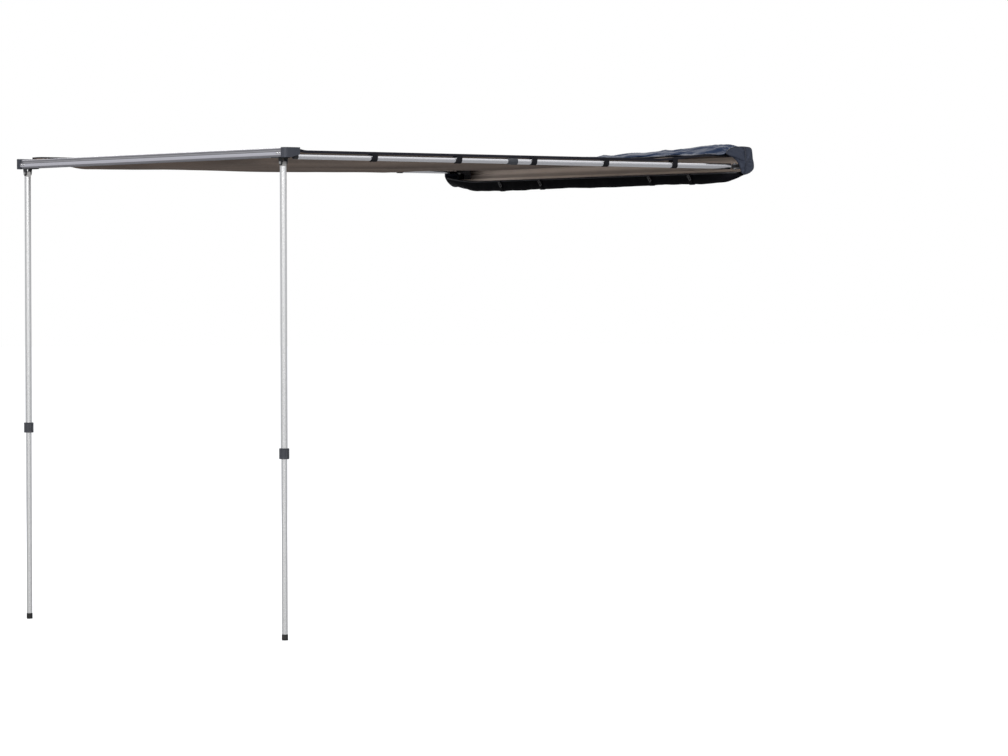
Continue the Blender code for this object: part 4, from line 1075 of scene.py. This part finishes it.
trough_cloth = folded_sheet(trough_guide, -1.6 * MM, 1.0 * MM, 60 * MM)
trough, columns = cover_sheet("cover_trough_sheet", COVER_HALF - 1 * MM, 240, trough_cloth, trough_pvc)
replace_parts(trough, "cover_trough")
flap_cloth = folded_sheet(flap_guide, -6.5 * MM, 1.6 * MM, 45 * MM)
flap, columns = cover_sheet("cover_flap_sheet", FLAP_HALF, 300, flap_cloth, flap_pvc)
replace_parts(flap, "cover_flap")


ZIP_STEPS = 200
ZIP_PITCH = 3.2 * MM


def edge_zip(name, guide, half):
    """Half a zip along a sheet's free edge: its tape, then its teeth."""
    path = []
    for i in range(ZIP_STEPS + 1):
        x = mix(-half, half, i / ZIP_STEPS)
        u, z = guide(x)[-1]
        path.append(Vector((x, -u, z)))
    bm = bmesh.new()
    sweep(bm, path, oval(2.2 * MM, 2.6 * MM, 8), (0, 0, 1))
    for k in range(int(2 * half / ZIP_PITCH) - 2):
        x = -half + (k + 1) * ZIP_PITCH
        share = (x + half) / (2 * half) * ZIP_STEPS
        spot = path[int(share)].lerp(path[min(int(share) + 1, ZIP_STEPS)], share - int(share))
        tooth = bmesh.ops.create_cube(bm, size=1.0)["verts"]
        bmesh.ops.scale(bm, verts=tooth, vec=(1.5 * MM, 5.6 * MM, 1.5 * MM))
        bmesh.ops.translate(bm, verts=tooth, vec=spot + Vector((0, 0, 2.9 * MM)))
    return settle(name, bm, black_nylon, "root")


trough_zip = edge_zip("cover_trough_zip", trough_guide, COVER_HALF - 4 * MM)
flap_hem_path = [Vector((x, -flap_guide(x)[-1][0], flap_guide(x)[-1][1])) for x in columns]
hem_section = oval(3.2 * MM, 1.6 * MM, 10)
flap_hem = swept("cover_flap_hem", flap_hem_path, hem_section, (0, 0, 1), piping_pvc)


NEAR_TOP = ((-7, 20), (-4, 48), (3, 66), (32, 71), (72, 71), (108, 67), (138, 55), (148, 43), (128, 33))
NEAR_FRONT = ((104, 24), (84, 10), (68, -10), (60, -33), (50, -46), (34, -48), (6, -38))
NEAR_BACK = ((-12, -22), (-13, 0))
FAR_TOP = ((0, 30), (3, 52), (22, 58), (88, 56), (114, 30), (123, -4), (119, -20))
FAR_FRONT = ((107, -36), (88, -51), (66, -59), (36, -55), (5, -42), (0, -24))
END_GUIDE = {
    "near": in_millimetres(NEAR_TOP + NEAR_FRONT + NEAR_BACK),
    "far": in_millimetres(FAR_TOP + FAR_FRONT),
}


def end_outline(side, count):
    """An end panel's outline; the near one has pulled in where the lower panel closes round it."""
    guide = END_GUIDE[side]
    return curve_through(guide + guide[:1], count)[0][:-1]


END_CENTRE = {"near": Vector((38 * MM, 6 * MM)), "far": Vector((58 * MM, 0))}
END_BULGE = 10 * MM
END_RINGS = (1.0, 0.985, 0.93, 0.84, 0.72, 0.58, 0.42, 0.24, 0.08)
SEAM_U = 42 * MM
SEAM_STEPS = 24
cord = oval(2.2 * MM, 2.2 * MM, 10, squareness=1.0)
seam_cord = oval(2.0 * MM, 2.0 * MM, 10, squareness=1.0)
for side, sign in SIDES.items():
    x0 = sign * (COVER_HALF + GAP + COVER_CLOTH / 2)
    outline = end_outline(side, 72)
    centre = END_CENTRE[side]
    bm = bmesh.new()
    flat = bm.verts.layers.float_vector.new("cloth_place")
    rings = []
    for r in END_RINGS:
        ring = []
        for point in outline:
            spot = centre + (point - centre) * r
            dent = crumple(spot.x * 2.5, spot.y * 3.5, -5.0 * MM, 4.5 * MM)
            out = sign * (END_BULGE * (1 - r * r) + dent * min(1.0, 4 * (1 - r)))
            vert = bm.verts.new((x0 + out, -spot.x, spot.y))
            vert[flat] = Vector((spot.x, spot.y, 0))
            ring.append(vert)
        rings.append(ring)
    join_rings(bm, rings)
    bm.faces.new(rings[-1])
    panel = settle("cover_end_panel_" + side, bm, end_pvc, "root", 60)
    thicken(panel, COVER_SKIN)
    path = [Vector((x0, -point.x, point.y)) for point in outline]
    path += path[:2]
    piping = swept("cover_end_piping_" + side, path, cord, (1, 0, 0), piping_pvc)
    seam = []
    high = max(point.y for point in outline) - 1 * MM
    low = min(point.y for point in outline) + 1 * MM
    for i in range(SEAM_STEPS + 1):
        z = mix(high, low, i / SEAM_STEPS)
        reach = Vector((SEAM_U, z)) - centre
        r = min(1.0, reach.length / ((high if z > centre.y else -low) + 0.006))
        seam.append(Vector((x0 + sign * (END_BULGE * (1 - r * r) + 0.8 * MM), -SEAM_U, z)))
    rib = swept("cover_end_seam_" + side, seam, seam_cord, (1, 0, 0), piping_pvc)
    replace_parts(panel, "cover_end_" + side)


# Stow straps
# Four webbing straps with ladder-lock buckles hold the rolled cover shut on the road. Here they
# hang open round the trough, sewn to it, with their buckles at its front.

STRAP_STATIONS = (-0.60, -0.31, 0.46, 0.73)
STRAP_WIDE, STRAP_THICK = 25 * MM, 1.4 * MM
STRAP_POINTS, STRAP_START = 72, 26
BUCKLE_AT = 0.86
BUCKLE_LIFT = 2.4 * MM
BUCKLE_HALF_WIDE, BUCKLE_HALF_LONG = 5.5, 14
strap_tape = webbing("strap_tape", (0.004, 0.004, 0.005))
buckle_nylon = moulded("buckle_nylon", (0.11, 0.11, 0.115), 0.4, 0.4, 0.1)
section = flat_strip(STRAP_WIDE, STRAP_THICK)
for number, x in enumerate(STRAP_STATIONS, 1):
    points = curve_through(trough_guide(x), STRAP_POINTS)[0]
    offset = COVER_SKIN / 2 + GAP + STRAP_THICK / 2
    line = []
    for k in range(STRAP_START, STRAP_POINTS + 1):
        before, after = points[k - 1], points[min(k + 1, STRAP_POINTS)]
        slope = (after - before).normalized()
        spot = points[k] + Vector((slope.y, -slope.x)) * offset
        line.append(Vector((x, -spot.x, spot.y)))
    strap = swept("strap_%d" % number, line, section, (1, 0, 0), strap_tape, sharp=40)
    middle = int(BUCKLE_AT * len(line))
    down = (line[middle + 1] - line[middle - 1]).normalized()
    out = Vector((0, -down.z, down.y))
    level = Vector((1, 0, 0)) * 0.8 + down * 0.6
    along = down * 0.8 - Vector((1, 0, 0)) * 0.6
    centre = line[middle] + out * BUCKLE_LIFT
    steps = [mix(-1, 1, i / 8) * MM for i in range(9)]
    bm = bmesh.new()
    for shift in (-13 * MM, 3 * MM, 13 * MM):
        bar = [centre + along * shift + level * (BUCKLE_HALF_WIDE * step) for step in steps]
        sweep(bm, bar, oval(1.7 * MM, 1.3 * MM, 10), out)
    for shift in (-5 * MM, 5 * MM):
        bar = [centre + level * shift + along * (BUCKLE_HALF_LONG * step) for step in steps]
        sweep(bm, bar, oval(1.9 * MM, 1.6 * MM, 10), out)
    buckle = settle("strap_buckle_%d" % number, bm, buckle_nylon, "root", 50)
    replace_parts(strap, "stow_strap_%d" % number)
